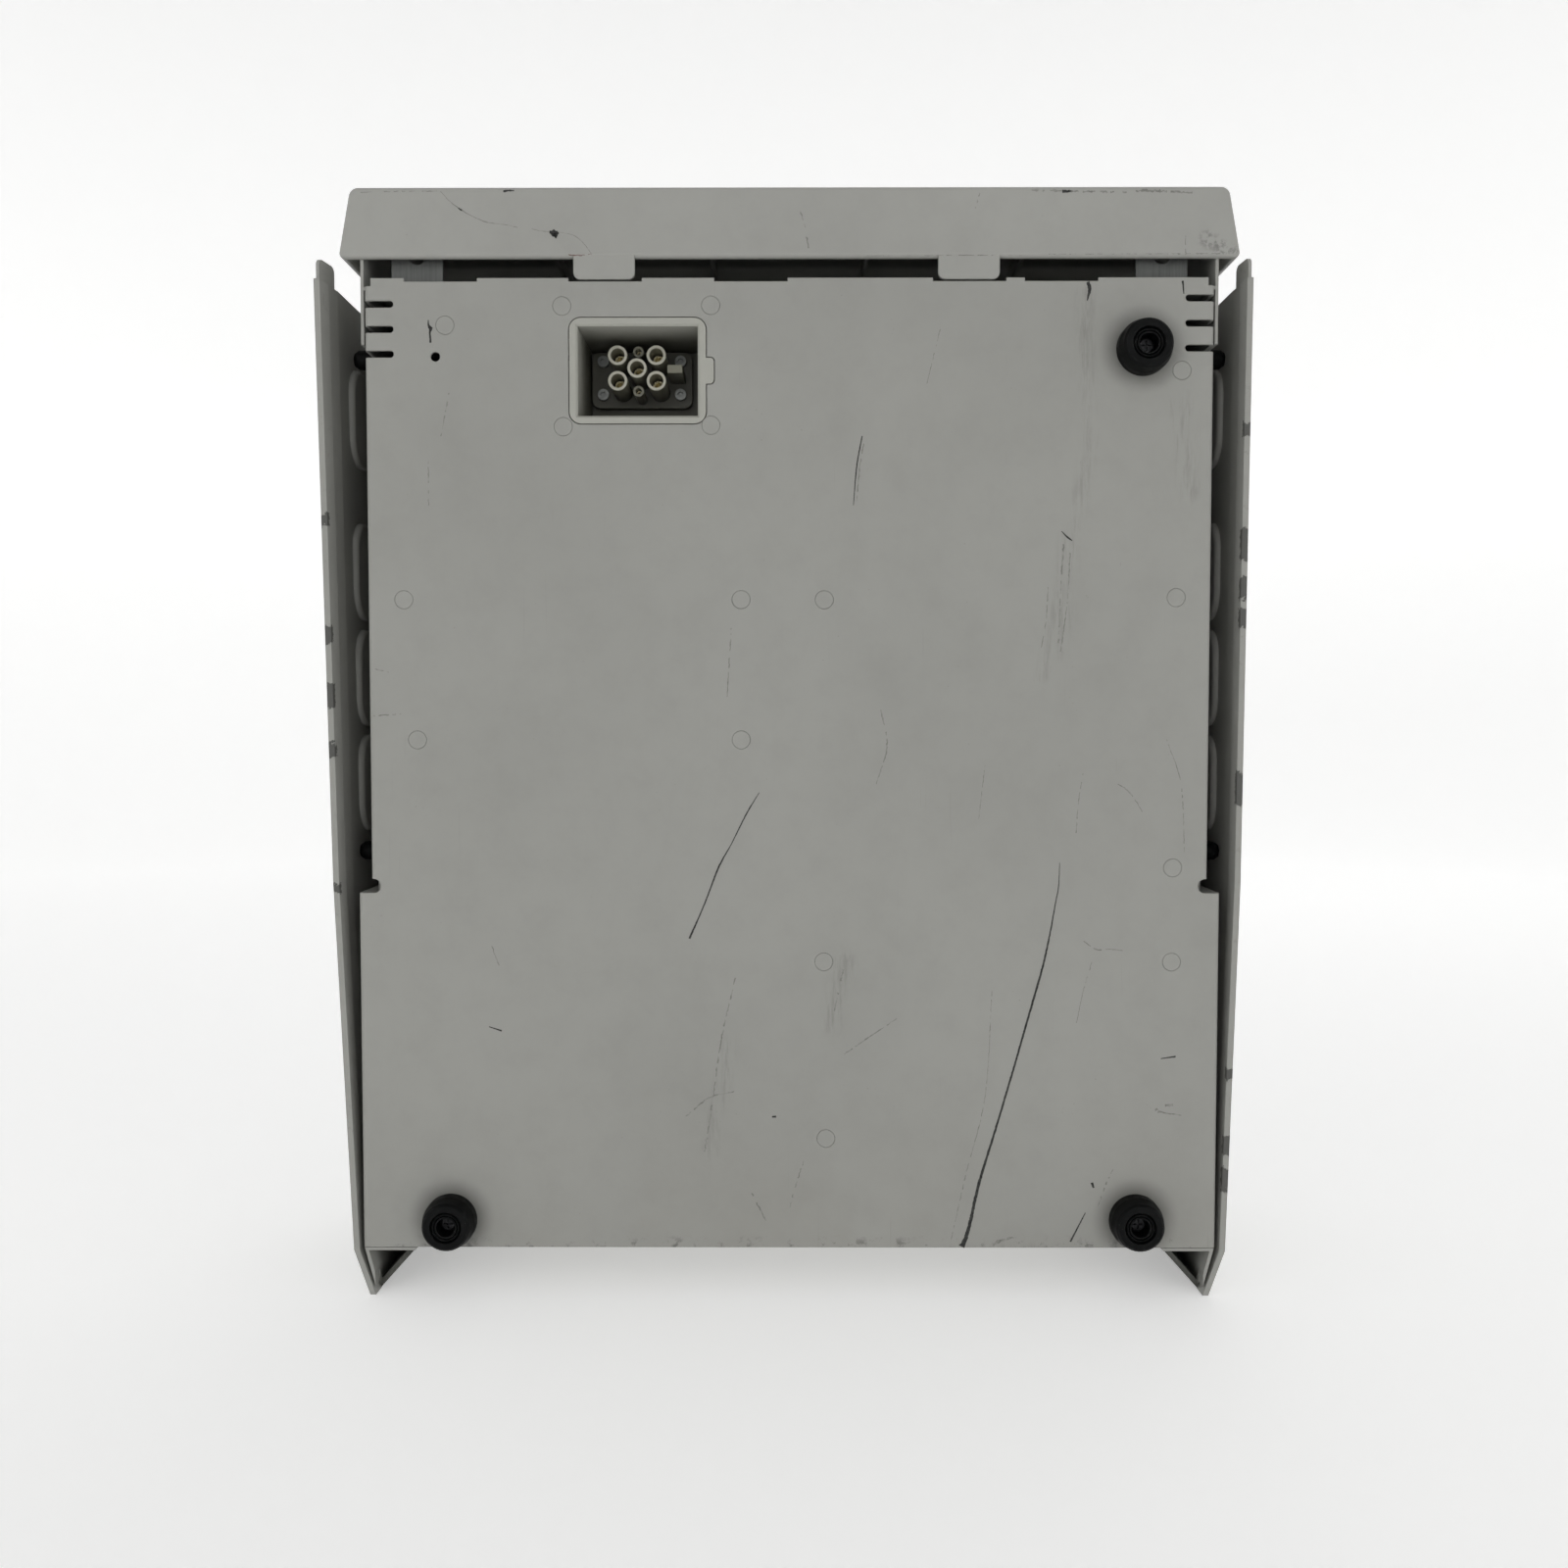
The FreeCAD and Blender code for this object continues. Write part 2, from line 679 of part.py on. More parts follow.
def corner_bracket(name, side):
    """Folded triangular foot: flange under the pan, diagonal to the tip, return wall."""
    outer = f"{side} * 202.4"
    body = new_body("BracketShell")
    triangle = outline(body, "XZ_Plane", [(f"{side} * 177", "floor_z - 0.3"),
                                          (outer, "floor_z - 0.3"), (f"{side} * 196.6", "0.9")],
                       "-back_y + 0.4")
    pad(body, triangle, "back_y - front_y - 0.8")
    inside = outline(body, "XZ_Plane", [(f"{side} * 181.6", "floor_z - 0.3 - steel"),
                                        (f"{side} * 200.3", "floor_z - 0.3 - steel"),
                                        (f"{side} * 196.1", "5.2")], "-back_y - 1")
    pocket(body, inside, "back_y - front_y + 4", True)
    cutback = block(side_span(side, "170", "197.4"), ("back_y - 7", "back_y + 1"),
                    ("-1", "floor_z - 0.3 - steel"))
    node(f"corner_bracket_{name}", cut(body, cutback))


# ---------------------------------------------------------------- feet, buffers, screws

def rubber_feet():
    made = []
    for x, z in FEET:
        body = new_body("Foot")
        spin(body, [("3.1", "0"), ("foot_r", "0"), ("foot_r", "foot_tall * 0.45"),
                    ("foot_r - 1.2", "foot_tall - 1.2"), ("foot_r - 2.2", "foot_tall"),
                    ("foot_r - 5", "foot_tall"), ("foot_r - 5.8", "foot_tall - 1.6"),
                    ("foot_r - 6.8", "foot_tall - 1.6"), ("foot_r - 7.4", "foot_tall - 0.6"),
                    ("4.4", "foot_tall - 0.6"), ("4.4", "3"), ("3.1", "3")])
        body.Placement = Placement(Vector(x, SIZES["back_y"], z), TURN["Y"])
        bind(body, "Placement.Base.y", "back_y + 0.05")
        made.append(body)
    node("rubber_feet", bundle(made))
    screws = []
    for x, z in FEET:
        head = rod("Y", x, "back_y + 3.1", z, 3.7, 2.4, tip=3)
        shank = rod("Y", x, "back_y - 6", z, 2, 10)
        slot = block((f"{x} - 0.45", f"{x} + 0.45"), ("back_y + 4.4", "back_y + 6"),
                     (f"{z} - 2.2", f"{z} + 2.2"))
        cross = block((f"{x} - 2.2", f"{x} + 2.2"), ("back_y + 4.4", "back_y + 6"),
                      (f"{z} - 0.45", f"{z} + 0.45"))
        screws.append(cut(join(head, shank), slot, cross))
    node("foot_screws", bundle(screws))


def side_buffers():
    made = []
    for side in SIDES.values():
        for level in BUFFER_LEVELS:
            body = new_body("Buffer")
            spin(body, [("0", "0"), ("buffer_r", "0"), ("buffer_r", "2"),
                        ("buffer_r - 0.6", "3"), ("buffer_r - 1", "buffer_long - 2.5"),
                        ("buffer_r - 2.4", "buffer_long - 0.6"), ("0", "buffer_long")])
            turn = TURN["X"] if side == "1" else Rotation(Vector(0, 1, 0), -90)
            body.Placement = Placement(Vector(), turn)
            place(body, f"{side} * (upper_half + 0.05)", "buffer_y", level)
            made.append(body)
    node("side_buffers", bundle(made))


# ---------------------------------------------------------------- docking well and connector

def dock_well():
    """Moulded insert: flush flange, tapered mouth and a deep box with the connector's opening."""
    body = new_body("WellShell")
    x_span = ("well_x - flange_half_x", "well_x + flange_half_x")
    z_span = ("well_z - flange_half_z", "well_z + flange_half_z")
    pad(body, outline(body, "XZ_Plane", rectangle(x_span, z_span), "-back_y"), "steel")
    round_edges(body, str(WELL_CORNER), "Y")
    key = rectangle(("well_x - flange_half_x - 3.7", "well_x - flange_half_x + 1"),
                    ("well_z - 6", "well_z + 6"))
    pad(body, outline(body, "XZ_Plane", key, "-back_y"), "steel")
    round_edges(body, str(KEY_CORNER), "Y", at_key_tip)
    walls = rectangle(("well_x - well_half_x - well_wall", "well_x + well_half_x + well_wall"),
                      ("well_z - well_half_z - well_wall", "well_z + well_half_z + well_wall"))
    pad(body, outline(body, "XZ_Plane", walls, "-back_y"), "well_deep + well_wall")
    space = rectangle(("well_x - well_half_x", "well_x + well_half_x"),
                      ("well_z - well_half_z", "well_z + well_half_z"))
    pocket(body, outline(body, "XZ_Plane", space, "-back_y"), "well_deep", True)
    seat = rectangle(("dock_x - dock_half_x + 4", "dock_x + dock_half_x - 4"),
                     ("dock_z - dock_half_z + 4", "dock_z + dock_half_z - 4"))
    pocket(body, outline(body, "XZ_Plane", seat, "-back_y"), "well_deep + well_wall * 2", True)
    doc.recompute()
    opened = body.Tip
    mouth = edges_of(opened.Shape, "X", at_mouth) + edges_of(opened.Shape, "Z", at_mouth)
    lead_in = body.newObject("PartDesign::Chamfer", "LeadIn")
    lead_in.Base = (opened, [f"Edge{n}" for n in mouth])
    lead_in.Size = 0.9
    node("dock_well", body)


def at_key_tip(centre):
    """True for the outer corners of the tab on the well's flange."""
    return centre.x < SIZES["well_x"] - SIZES["flange_half_x"] - 1


def at_mouth(centre):
    """True for the well's inner edges at the back plate."""
    near_x = abs(centre.x - SIZES["well_x"]) < SIZES["well_half_x"] + 0.1
    near_z = abs(centre.z - SIZES["well_z"]) < SIZES["well_half_z"] + 0.1
    return near_x and near_z and centre.y > SIZES["back_y"] - 0.01


POWER_TUBES = ((-0.5, 0.5), (0.5, 0.5), (0, 0), (-0.5, -0.5), (0.5, -0.5))


def dock_connector():
    face = "back_y - well_deep + dock_thick"
    plinth = soften(block(("dock_x - dock_half_x", "dock_x + dock_half_x"),
                          ("back_y - well_deep + 0.1", face),
                          ("dock_z - dock_half_z", "dock_z + dock_half_z")), 4, "Y")
    rear = block(("dock_x - dock_half_x + 4.5", "dock_x + dock_half_x - 4.5"),
                 ("back_y - well_deep - 14", "back_y - well_deep + 1"),
                 ("dock_z - dock_half_z + 4.5", "dock_z + dock_half_z - 4.5"))
    pieces = [plinth, rear]
    bores = []
    contacts = []
    for across, up in POWER_TUBES:
        x = f"dock_x + tube_pitch_x * {across}"
        z = f"dock_z + tube_pitch_z * {up}"
        pieces.append(rod("Y", x, f"{face} - 1", z, "tube_r", "tube_long + 1"))
        bores.append(rod("Y", x, f"{face} - 4.5", z, "tube_bore", "tube_long + 10"))
        contacts.append(contact(x, z, f"{face} - 4.4", "tube_bore - 0.6", "tube_bore - 1.5"))
    for rise in ("pilot_rise", "-pilot_rise"):
        z = f"dock_z + {rise}"
        pieces.append(rod("Y", "dock_x", f"{face} - 1", z, "pilot_r", "tube_long * 0.72 + 1"))
        bores.append(rod("Y", "dock_x", f"{face} - 4.5", z, "pilot_bore", "tube_long + 10"))
        contacts.append(contact("dock_x", z, f"{face} - 4.4", "pilot_bore - 0.3",
                                "pilot_bore - 0.8"))
    pieces.append(block(("dock_x - dock_half_x + 3.2", "dock_x - dock_half_x + 10.4"),
                        (f"{face} - 1", f"{face} + tube_long - 3"),
                        ("dock_z - 1.6", "dock_z + 2.2")))
    ways = [rod("Y", x, f"{face} - 8", z, "1.6", 20) for x, z in dock_screw_places()]
    node("dock_connector", cut(join(*pieces), *bores, *ways))
    node("dock_contacts", bundle(contacts))
    screws = []
    for x, z in dock_screw_places():
        head = rod("Y", x, f"{face} + 0.05", z, "2.8", "2.2")
        shank = rod("Y", x, f"{face} - 4.8", z, "1.5", "5")
        star = [hexagon("Y", x, f"{face} + 1", z, "2.9", "2")]
        screws.append(cut(join(head, shank), *star))
    node("dock_screws", bundle(screws))


def contact(x, z, start, outer, inner):
    """A split-looking contact sleeve lying deep in its tube."""
    sleeve = rod("Y", x, start, z, outer, "tube_long * 0.7")
    return cut(sleeve, rod("Y", x, f"({start}) + 4", z, inner, "tube_long"))


def dock_screw_places():
    return [(f"dock_x + {side} * 19.1", f"dock_z + {up} * 8.1 + 0.8")
            for side in (-1, 1) for up in (-1, 1)]


# ---------------------------------------------------------------- front door, hinges, latch

HINGE_LEVELS = (90, 420)


def front_door():
    """Shallow steel tray with a window opening, hung on the left."""
    body = new_body("DoorShell")
    face = rectangle(("-door_half", "door_half"), ("door_low", "door_high"))
    pad(body, outline(body, "XZ_Plane", face, "-door_back"), "door_back - door_front")
    round_edges(body, "2.5", "Z", lambda c: c.y < SIZES["door_front"] + 0.1)
    round_edges(body, "2.5", "X", lambda c: c.y < SIZES["door_front"] + 0.1)
    space = rectangle(("-door_half + steel", "door_half - steel"),
                      ("door_low + steel", "door_high - steel"))
    pocket(body, outline(body, "XZ_Plane", space, "-door_back - 1"),
           "door_back - door_front - steel + 1", True)
    view = rectangle(("-window_half", "window_half"), ("window_low", "window_high"))
    pocket(body, outline(body, "XZ_Plane", view, "-door_back - 1"),
           "door_back - door_front + 3", True)
    round_edges(body, "7", "Y", in_window)
    latch_hole = rod("Y", "latch_x", "door_front - 2", "latch_z", "latch_r + 0.1", 8)
    node("front_door", cut(body, latch_hole))


def in_window(centre):
    """True for the corners of the window opening."""
    return (abs(centre.x) < SIZES["window_half"] + 0.1
            and SIZES["window_low"] - 0.1 < centre.z < SIZES["window_high"] + 0.1)


def frame_ring(x, y, z, border):
    """A rectangular ring with the stated border inside its outer size."""
    outer = block(x, y, z)
    inner = block((f"{x[0]} + {border}", f"{x[1]} - {border}"),
                  (f"{y[0]} - 1", f"{y[1]} + 1"),
                  (f"{z[0]} + {border}", f"{z[1]} - {border}"))
    return cut(outer, inner)


def window_and_seal():
    glass = "door_front + steel + 0.05"
    pane = block(("-window_half - 8", "window_half + 8"), (glass, f"{glass} + 2"),
                 ("window_low - 8", "window_high + 8"))
    node("door_window", soften(pane, 5, "Y"))
    node("window_gasket", frame_ring(("-window_half - 12", "window_half + 12"),
                                     (f"{glass} + 2.05", f"{glass} + 5"),
                                     ("window_low - 12", "window_high + 12"), "9"))
    node("door_seal", frame_ring(("-door_half + steel + 0.2", "door_half - steel - 0.2"),
                                 ("door_front + steel + 0.05", "door_front + steel + 6"),
                                 ("door_low + steel + 0.2", "door_high - steel - 0.2"), "9"))


def hinges():
    chassis_leaves = []
    door_leaves = []
    pins = []
    for level in HINGE_LEVELS:
        fixed = []
        for low in (level - 30, level + 10.2):
            knuckle = rod("Z", "hinge_x", "hinge_y", low, "knuckle_r", 19.8)
            strap = block(("hinge_x", "-upper_half + rim - 2"), ("-48.6", "-47.2"),
                          (low, low + 19.8))
            fixed += [knuckle, strap]
        fixed.append(block(("-201.6", "-upper_half + rim - 2"), ("-48.6", "-47.2"),
                           (level - 30, level + 30)))
        way = rod("Z", "hinge_x", "hinge_y", level - 40, "pin_r + pin_gap", 80)
        chassis_leaves.append(cut(join(*fixed), way))
        knuckle = rod("Z", "hinge_x", "hinge_y", level - 9.8, "knuckle_r", 19.6)
        strap = block(("-204.9", "-203.05"), ("-66", "hinge_y"), (level - 9.8, level + 9.8))
        bore = rod("Z", "hinge_x", "hinge_y", level - 40, "pin_r + pin_gap", 80)
        door_leaves.append(cut(join(knuckle, strap), bore))
        pins.append(join(rod("Z", "hinge_x", "hinge_y", level - 31, "pin_r", 62),
                         rod("Z", "hinge_x", "hinge_y", level + 30.1, "pin_r + 1.2", 2),
                         rod("Z", "hinge_x", "hinge_y", level - 32.1, "pin_r + 1.2", 2)))
    node("hinge_leaves_chassis", bundle(chassis_leaves))
    node("hinge_leaves_door", bundle(door_leaves))
    node("hinge_pins", bundle(pins))


def latch():
    """Quarter-turn latch: barrel clamped in the door, wing knob in front, cam behind."""
    bore = rod("Y", "latch_x", -90, "latch_z", "spindle_r + pin_gap", 60)
    collar = rod("Y", "latch_x", "door_front - 2.5", "latch_z", "latch_r + 4", 2.4)
    barrel = rod("Y", "latch_x", "door_front - 2", "latch_z", "latch_r", 16)
    nut = hexagon("Y", "latch_x", "door_front + steel + 0.1", "latch_z", 28, 5)
    node("latch_barrel", cut(join(collar, barrel, nut), bore))
    dial = rod("Y", "latch_x", "door_front - 6", "latch_z", 12.5, 3.2)
    wing = soften(block(("latch_x - 3.5", "latch_x + 3.5"), ("-85", "door_front - 5"),
                        ("latch_z - 12", "latch_z + 12")), 1.5, "YX")
    spindle = rod("Y", "latch_x", "door_front - 4", "latch_z", "spindle_r", 28)
    node("latch_knob", join(dial, wing, spindle))
    tail = block(("latch_x - 6", "latch_x + 6"), ("-44.9", "-42.4"),
                 ("latch_z - 21", "latch_z + 6"))
    node("latch_cam", soften(tail, 5, "Y"))


# ---------------------------------------------------------------- operator panel

BUTTONS = {
    "button_silence": -128,
    "button_reset": -90,
    "button_evacuate": -52,
    "button_mute": -14,
    "button_previous": 24,
    "button_next": 62,
}
LENS_PLACES = [(x, 417 - 17 * step) for x in (24, 84) for step in range(5)]
GRILLE = [(140 + 6.5 * math.cos(a), 400 + 6.5 * math.sin(a))
          for a in [math.tau * i / 6 for i in range(6)]] + [(140, 400)]


def operator_plate():
    sheet_plate = block(("-plate_half", "plate_half"), ("plate_y", "plate_y + steel"),
                        ("plate_low", "plate_high"))
    lip = block(("-plate_half", "plate_half"), ("plate_y", "plate_y + 14"),
                ("plate_low", "plate_low + steel"))
    opening = block(("-bezel_half + 6", "bezel_half - 6"), ("plate_y - 1", "plate_y + 3"),
                    ("bezel_low + 6", "bezel_high - 6"))
    node("operator_plate", cut(join(sheet_plate, lip), opening))


def operator_bezel():
    body = new_body("BezelShell")
    face = rectangle(("-bezel_half", "bezel_half"), ("bezel_low", "bezel_high"))
    pad(body, outline(body, "XZ_Plane", face, "-plate_y + 0.1"), "plate_y - bezel_front - 0.1")
    round_edges(body, "8", "Y")
    space = rectangle(("-bezel_half + bezel_wall", "bezel_half - bezel_wall"),
                      ("bezel_low + bezel_wall", "bezel_high - bezel_wall"))
    pocket(body, outline(body, "XZ_Plane", space, "-plate_y - 1"),
           "plate_y - bezel_front - bezel_wall + 1", True)
    view = rectangle(("display_left", "display_right"), ("display_low", "display_high"))
    pocket(body, outline(body, "XZ_Plane", view, "-plate_y - 1"), "20", True)
    tools = []
    for centre in BUTTONS.values():
        tools.append(soften(block((f"{centre} - button_wide / 2 - button_gap",
                                   f"{centre} + button_wide / 2 + button_gap"),
                                  ("bezel_front - 1", "plate_y + 1"),
                                  ("button_z - button_tall / 2 - button_gap",
                                   "button_z + button_tall / 2 + button_gap")), 2.4, "Y"))
    for x, z in LENS_PLACES:
        tools.append(rod("Y", x, "bezel_front - 1", z, "lens_r", 12))
    for x, z in GRILLE:
        tools.append(rod("Y", x, "bezel_front - 1", z, 1.4, 12))
    tools.append(rod("Y", "switch_x", "bezel_front - 1", "button_z", "switch_r + 0.1", 12))
    node("operator_bezel", cut(body, *tools))


def operator_controls():
    for label, centre in BUTTONS.items():
        cap = soften(block((f"{centre} - button_wide / 2", f"{centre} + button_wide / 2"),
                           ("bezel_front - button_proud", "bezel_front + bezel_wall + 1"),
                           ("button_z - button_tall / 2", "button_z + button_tall / 2")), 2, "Y")
        cap = soften(cap, 0.7, "XZ", at_button_front)
        flange = block((f"{centre} - button_wide / 2 - 1.5", f"{centre} + button_wide / 2 + 1.5"),
                       ("bezel_front + bezel_wall + 0.3", "bezel_front + bezel_wall + 1.3"),
                       ("button_z - button_tall / 2 - 1.5", "button_z + button_tall / 2 + 1.5"))
        stem = rod("Y", centre, "bezel_front + bezel_wall + 1", "button_z", 2, 1.5)
        node(label, join(cap, flange, stem))
    lenses = []
    for x, z in LENS_PLACES:
        dome = rod("Y", x, "bezel_front - 0.6", z, "lens_r - 0.9", 0.8, tip="lens_r - 0.1")
        lenses.append(join(dome, rod("Y", x, "bezel_front", z, "lens_r - 0.1", 6),
                           rod("Y", x, "bezel_front + bezel_wall + 0.2", z, "lens_r + 0.8", 1)))
    node("indicator_lenses", bundle(lenses))
    glass = block(("display_left - 4", "display_right + 4"),
                  ("bezel_front + bezel_wall + 0.1", "bezel_front + bezel_wall + 1.3"),
                  ("display_low - 4", "display_high + 4"))
    node("display_lens", glass)
    module = block(("display_left - 6", "display_right + 6"),
                   ("bezel_front + bezel_wall + 1.4", "-45.4"),
                   ("display_low - 8", "display_high + 8"))
    node("display_module", module)


def at_button_front(centre):
    return centre.y < SIZES["bezel_front"] - SIZES["button_proud"] + 0.01


def operator_electronics():
    board = block(("-bezel_half + 9", "bezel_half - 9"), ("board_y - board_thick", "board_y"),
                  ("bezel_low + 9", "bezel_high - 9"))
    hole = rod("Y", "switch_x", "board_y - 6", "button_z", "switch_r + 0.4", 12)
    node("display_board", cut(board, hole))
    sounder = cut(rod("Y", 120, "board_y + 0.05", 400, 12, 9.5), rod("Y", 120, "board_y + 7", 400,
                                                                   2, 4))
    node("sounder", sounder)
    barrel = join(rod("Y", "switch_x", "bezel_front - 2", "button_z", "switch_r + 3", 1.95),
                  rod("Y", "switch_x", "bezel_front - 1", "button_z", "switch_r", 24))
    node("enable_switch", cut(barrel, rod("Y", "switch_x", "bezel_front - 5", "button_z",
                                          "rotor_r + pin_gap", 20)))
    rotor = rod("Y", "switch_x", "bezel_front - 1.6", "button_z", "rotor_r", 14)
    grip = soften(block(("switch_x - 1.6", "switch_x + 1.6"),
                        ("bezel_front - 9", "bezel_front - 1"),
                        ("button_z - 6", "button_z + 6")), 1, "X")
    node("enable_rotor", join(rotor, grip))


# ---------------------------------------------------------------- boards and supplies

MAIN_BOARD = ((-188, -8), (150, 338))
LOOP_BOARD = ((14, 188), (256, 338))
BOARD_BACK = "back_y - steel - stud_tall - 0.05"
BOARD_FRONT = "back_y - steel - stud_tall - 0.05 - board_thick"


def board(label, spans):
    """A circuit board standing on its clinch standoffs."""
    (left, right), (low, high) = spans
    panel = block((left, right), (BOARD_FRONT, BOARD_BACK), (low, high))
    holes = []
    for x, z in BOARD_STUDS:
        if left < x < right and low < z < high:
            holes.append(rod("Y", x, f"{BOARD_FRONT} - 1", z, 1.6, 6))
    node(label, cut(panel, *holes))


def on_board(x, z, wide, tall, deep):
    """A component block that stands on the board's front face."""
    return block((x - wide / 2, x + wide / 2),
                 (f"{BOARD_FRONT} - 0.05 - {deep}", f"{BOARD_FRONT} - 0.05"),
                 (z - tall / 2, z + tall / 2))


def terminal_strip(x, z, ways, pitch=5.08, deep=14):
    """A row of screw terminals with its wire mouths and screw wells."""
    wide = ways * pitch
    strip = on_board(x, z, wide, 10, deep)
    cuts = []
    for way in range(ways):
        centre = x - wide / 2 + pitch * (way + 0.5)
        cuts.append(block((centre - 1.7, centre + 1.7),
                          (f"{BOARD_FRONT} - {deep - 2}", f"{BOARD_FRONT} - {deep - 8}"),
                          (z - 6, z - 1)))
        cuts.append(rod("Y", centre, f"{BOARD_FRONT} - {deep + 1}", z + 1.4, 1.7, 4))
    return cut(strip, *cuts)


def boards():
    board("main_board", MAIN_BOARD)
    board("loop_board", LOOP_BOARD)
    strips = [terminal_strip(x, 166, 8) for x in (-152, -100, -48)]
    strips += [terminal_strip(x, 271, 6) for x in (60, 110)]
    node("terminal_blocks", bundle(strips + [supply_strip(), mains_strip()]))
    relays = [on_board(x, 200, 19, 15.5, 15) for x in (-165, -140, -115, -90)]
    cans = [rod("Y", x, f"{BOARD_FRONT} - 20.05", z, 6.2, 20)
            for x, z in ((-40, 215), (-24, 232), (-56, 232))]
    chips = [on_board(-120, 290, 28, 28, 3.2), on_board(-70, 300, 18, 12, 2.2),
             on_board(-150, 250, 14, 10, 2), on_board(70, 312, 20, 20, 2.6),
             on_board(120, 312, 14, 10, 2)]
    chokes = [rod("Y", x, f"{BOARD_FRONT} - 11.05", 300, 8, 11) for x in (150, 30)]
    node("board_components", bundle(relays + cans + chips + chokes + tact_switches()))


def tact_switches():
    """One small push switch on the display board behind each button."""
    made = []
    for centre in BUTTONS.values():
        base = block((f"{centre} - 3", f"{centre} + 3"),
                     ("board_y - board_thick - 1.2", "board_y - board_thick - 0.02"),
                     ("button_z - 3", "button_z + 3"))
        made.append(join(base, rod("Y", centre, "board_y - board_thick - 1.6", "button_z",
                                   1.6, 0.8)))
    return made


def power_supply():
    """Vented case with its transformer inside."""
    case = block(("supply_left", "supply_right"), ("supply_front", "back_y - steel - 0.3"),
                 ("supply_low", "supply_high"))
    space = block(("supply_left + 1", "supply_right - 1"),
                  ("supply_front + 1", "back_y - steel - 1.3"), ("supply_low - 1", "supply_high - 1"))
    vents = [block((f"supply_left + {10 + 9 * i}", f"supply_left + {13.5 + 9 * i}"),
                   ("supply_front - 1", "supply_front + 2"), ("supply_low + 40", "supply_high - 14"))
             for i in range(15)]
    node("power_supply_case", cut(case, space, *vents))
    core = block(("supply_left + 18", "supply_left + 62"), ("supply_front + 6", "supply_front + 36"),
                 ("supply_low + 50", "supply_low + 96"))
    winding = soften(block(("supply_left + 26", "supply_left + 54"),
                           ("supply_front + 3", "supply_front + 39"),
                           ("supply_low + 56", "supply_low + 90")), 6, "Z")
    node("transformer", join(core, winding))


def supply_strip():
    """Screw terminals on the power supply's lower edge."""
    strip = block(("supply_left + 8", "supply_right - 8"), ("supply_front + 6", "supply_front + 20"),
                  ("supply_low - 0.5", "supply_low + 12"))
    wells = [rod("Y", f"supply_left + {16 + 12 * i}", "supply_front + 5", "supply_low + 7", 3, 6)
             for i in range(11)]
    return cut(strip, *wells)


def mains_strip():
    """Three-way mains terminals on the inlet bracket."""
    strip = block(("mains_x + 4", "mains_x + 34"), (0, 16), (37.6, 56))
    wells = [rod("Z", f"mains_x + {9 + 10 * i}", 8, 50, 3.4, 8) for i in range(3)]
    mouths = [block((f"mains_x + {6.4 + 10 * i}", f"mains_x + {11.6 + 10 * i}"), (-1, 5), (40, 46))
              for i in range(3)]
    return cut(strip, *wells, *mouths)


def batteries():
    for label, left in (("battery_left", -190), ("battery_right", -36)):
        x = (f"{left}", f"{left} + battery_wide")
        y = ("battery_back - battery_deep", "battery_back")
        case = soften(block(x, y, ("floor_z + steel + 0.2", "floor_z + steel + battery_tall")),
                      2.5, "Z")
        lid = soften(block((f"{x[0]} + 1", f"{x[1]} - 1"), (f"{y[0]} + 1", f"{y[1]} - 1"),
                           ("floor_z + battery_tall", "floor_z + steel + battery_tall + 2.5")),
                     2, "Z")
        top = "floor_z + battery_tall"
        tabs = []
        for along in (14, 137):
            post = left + along
            tabs.append(block((post - 2.4, post + 2.4), ("battery_back - 12", "battery_back - 11.2"),
                              (f"{top} + 3", f"{top} + 12")))
            tabs.append(block((post - 3.5, post + 3.5), ("battery_back - 15", "battery_back - 8"),
                              (f"{top} + 3", f"{top} + 5.2")))
        node(label, join(case, lid, *tabs))
    front = "battery_back - battery_deep - 0.3 - steel"
    tall = ("strap_low", "strap_high")
    deep = (front, "back_y - steel - 0.2")
    strap = block(("strap_left", "strap_right"), (front, f"{front} + steel"), tall)
    right_end = block(("strap_right - steel", "strap_right"), deep, tall)
    left_end = block(("strap_left", "strap_left + steel"), deep, tall)
    node("battery_strap", join(strap, right_end, left_end))


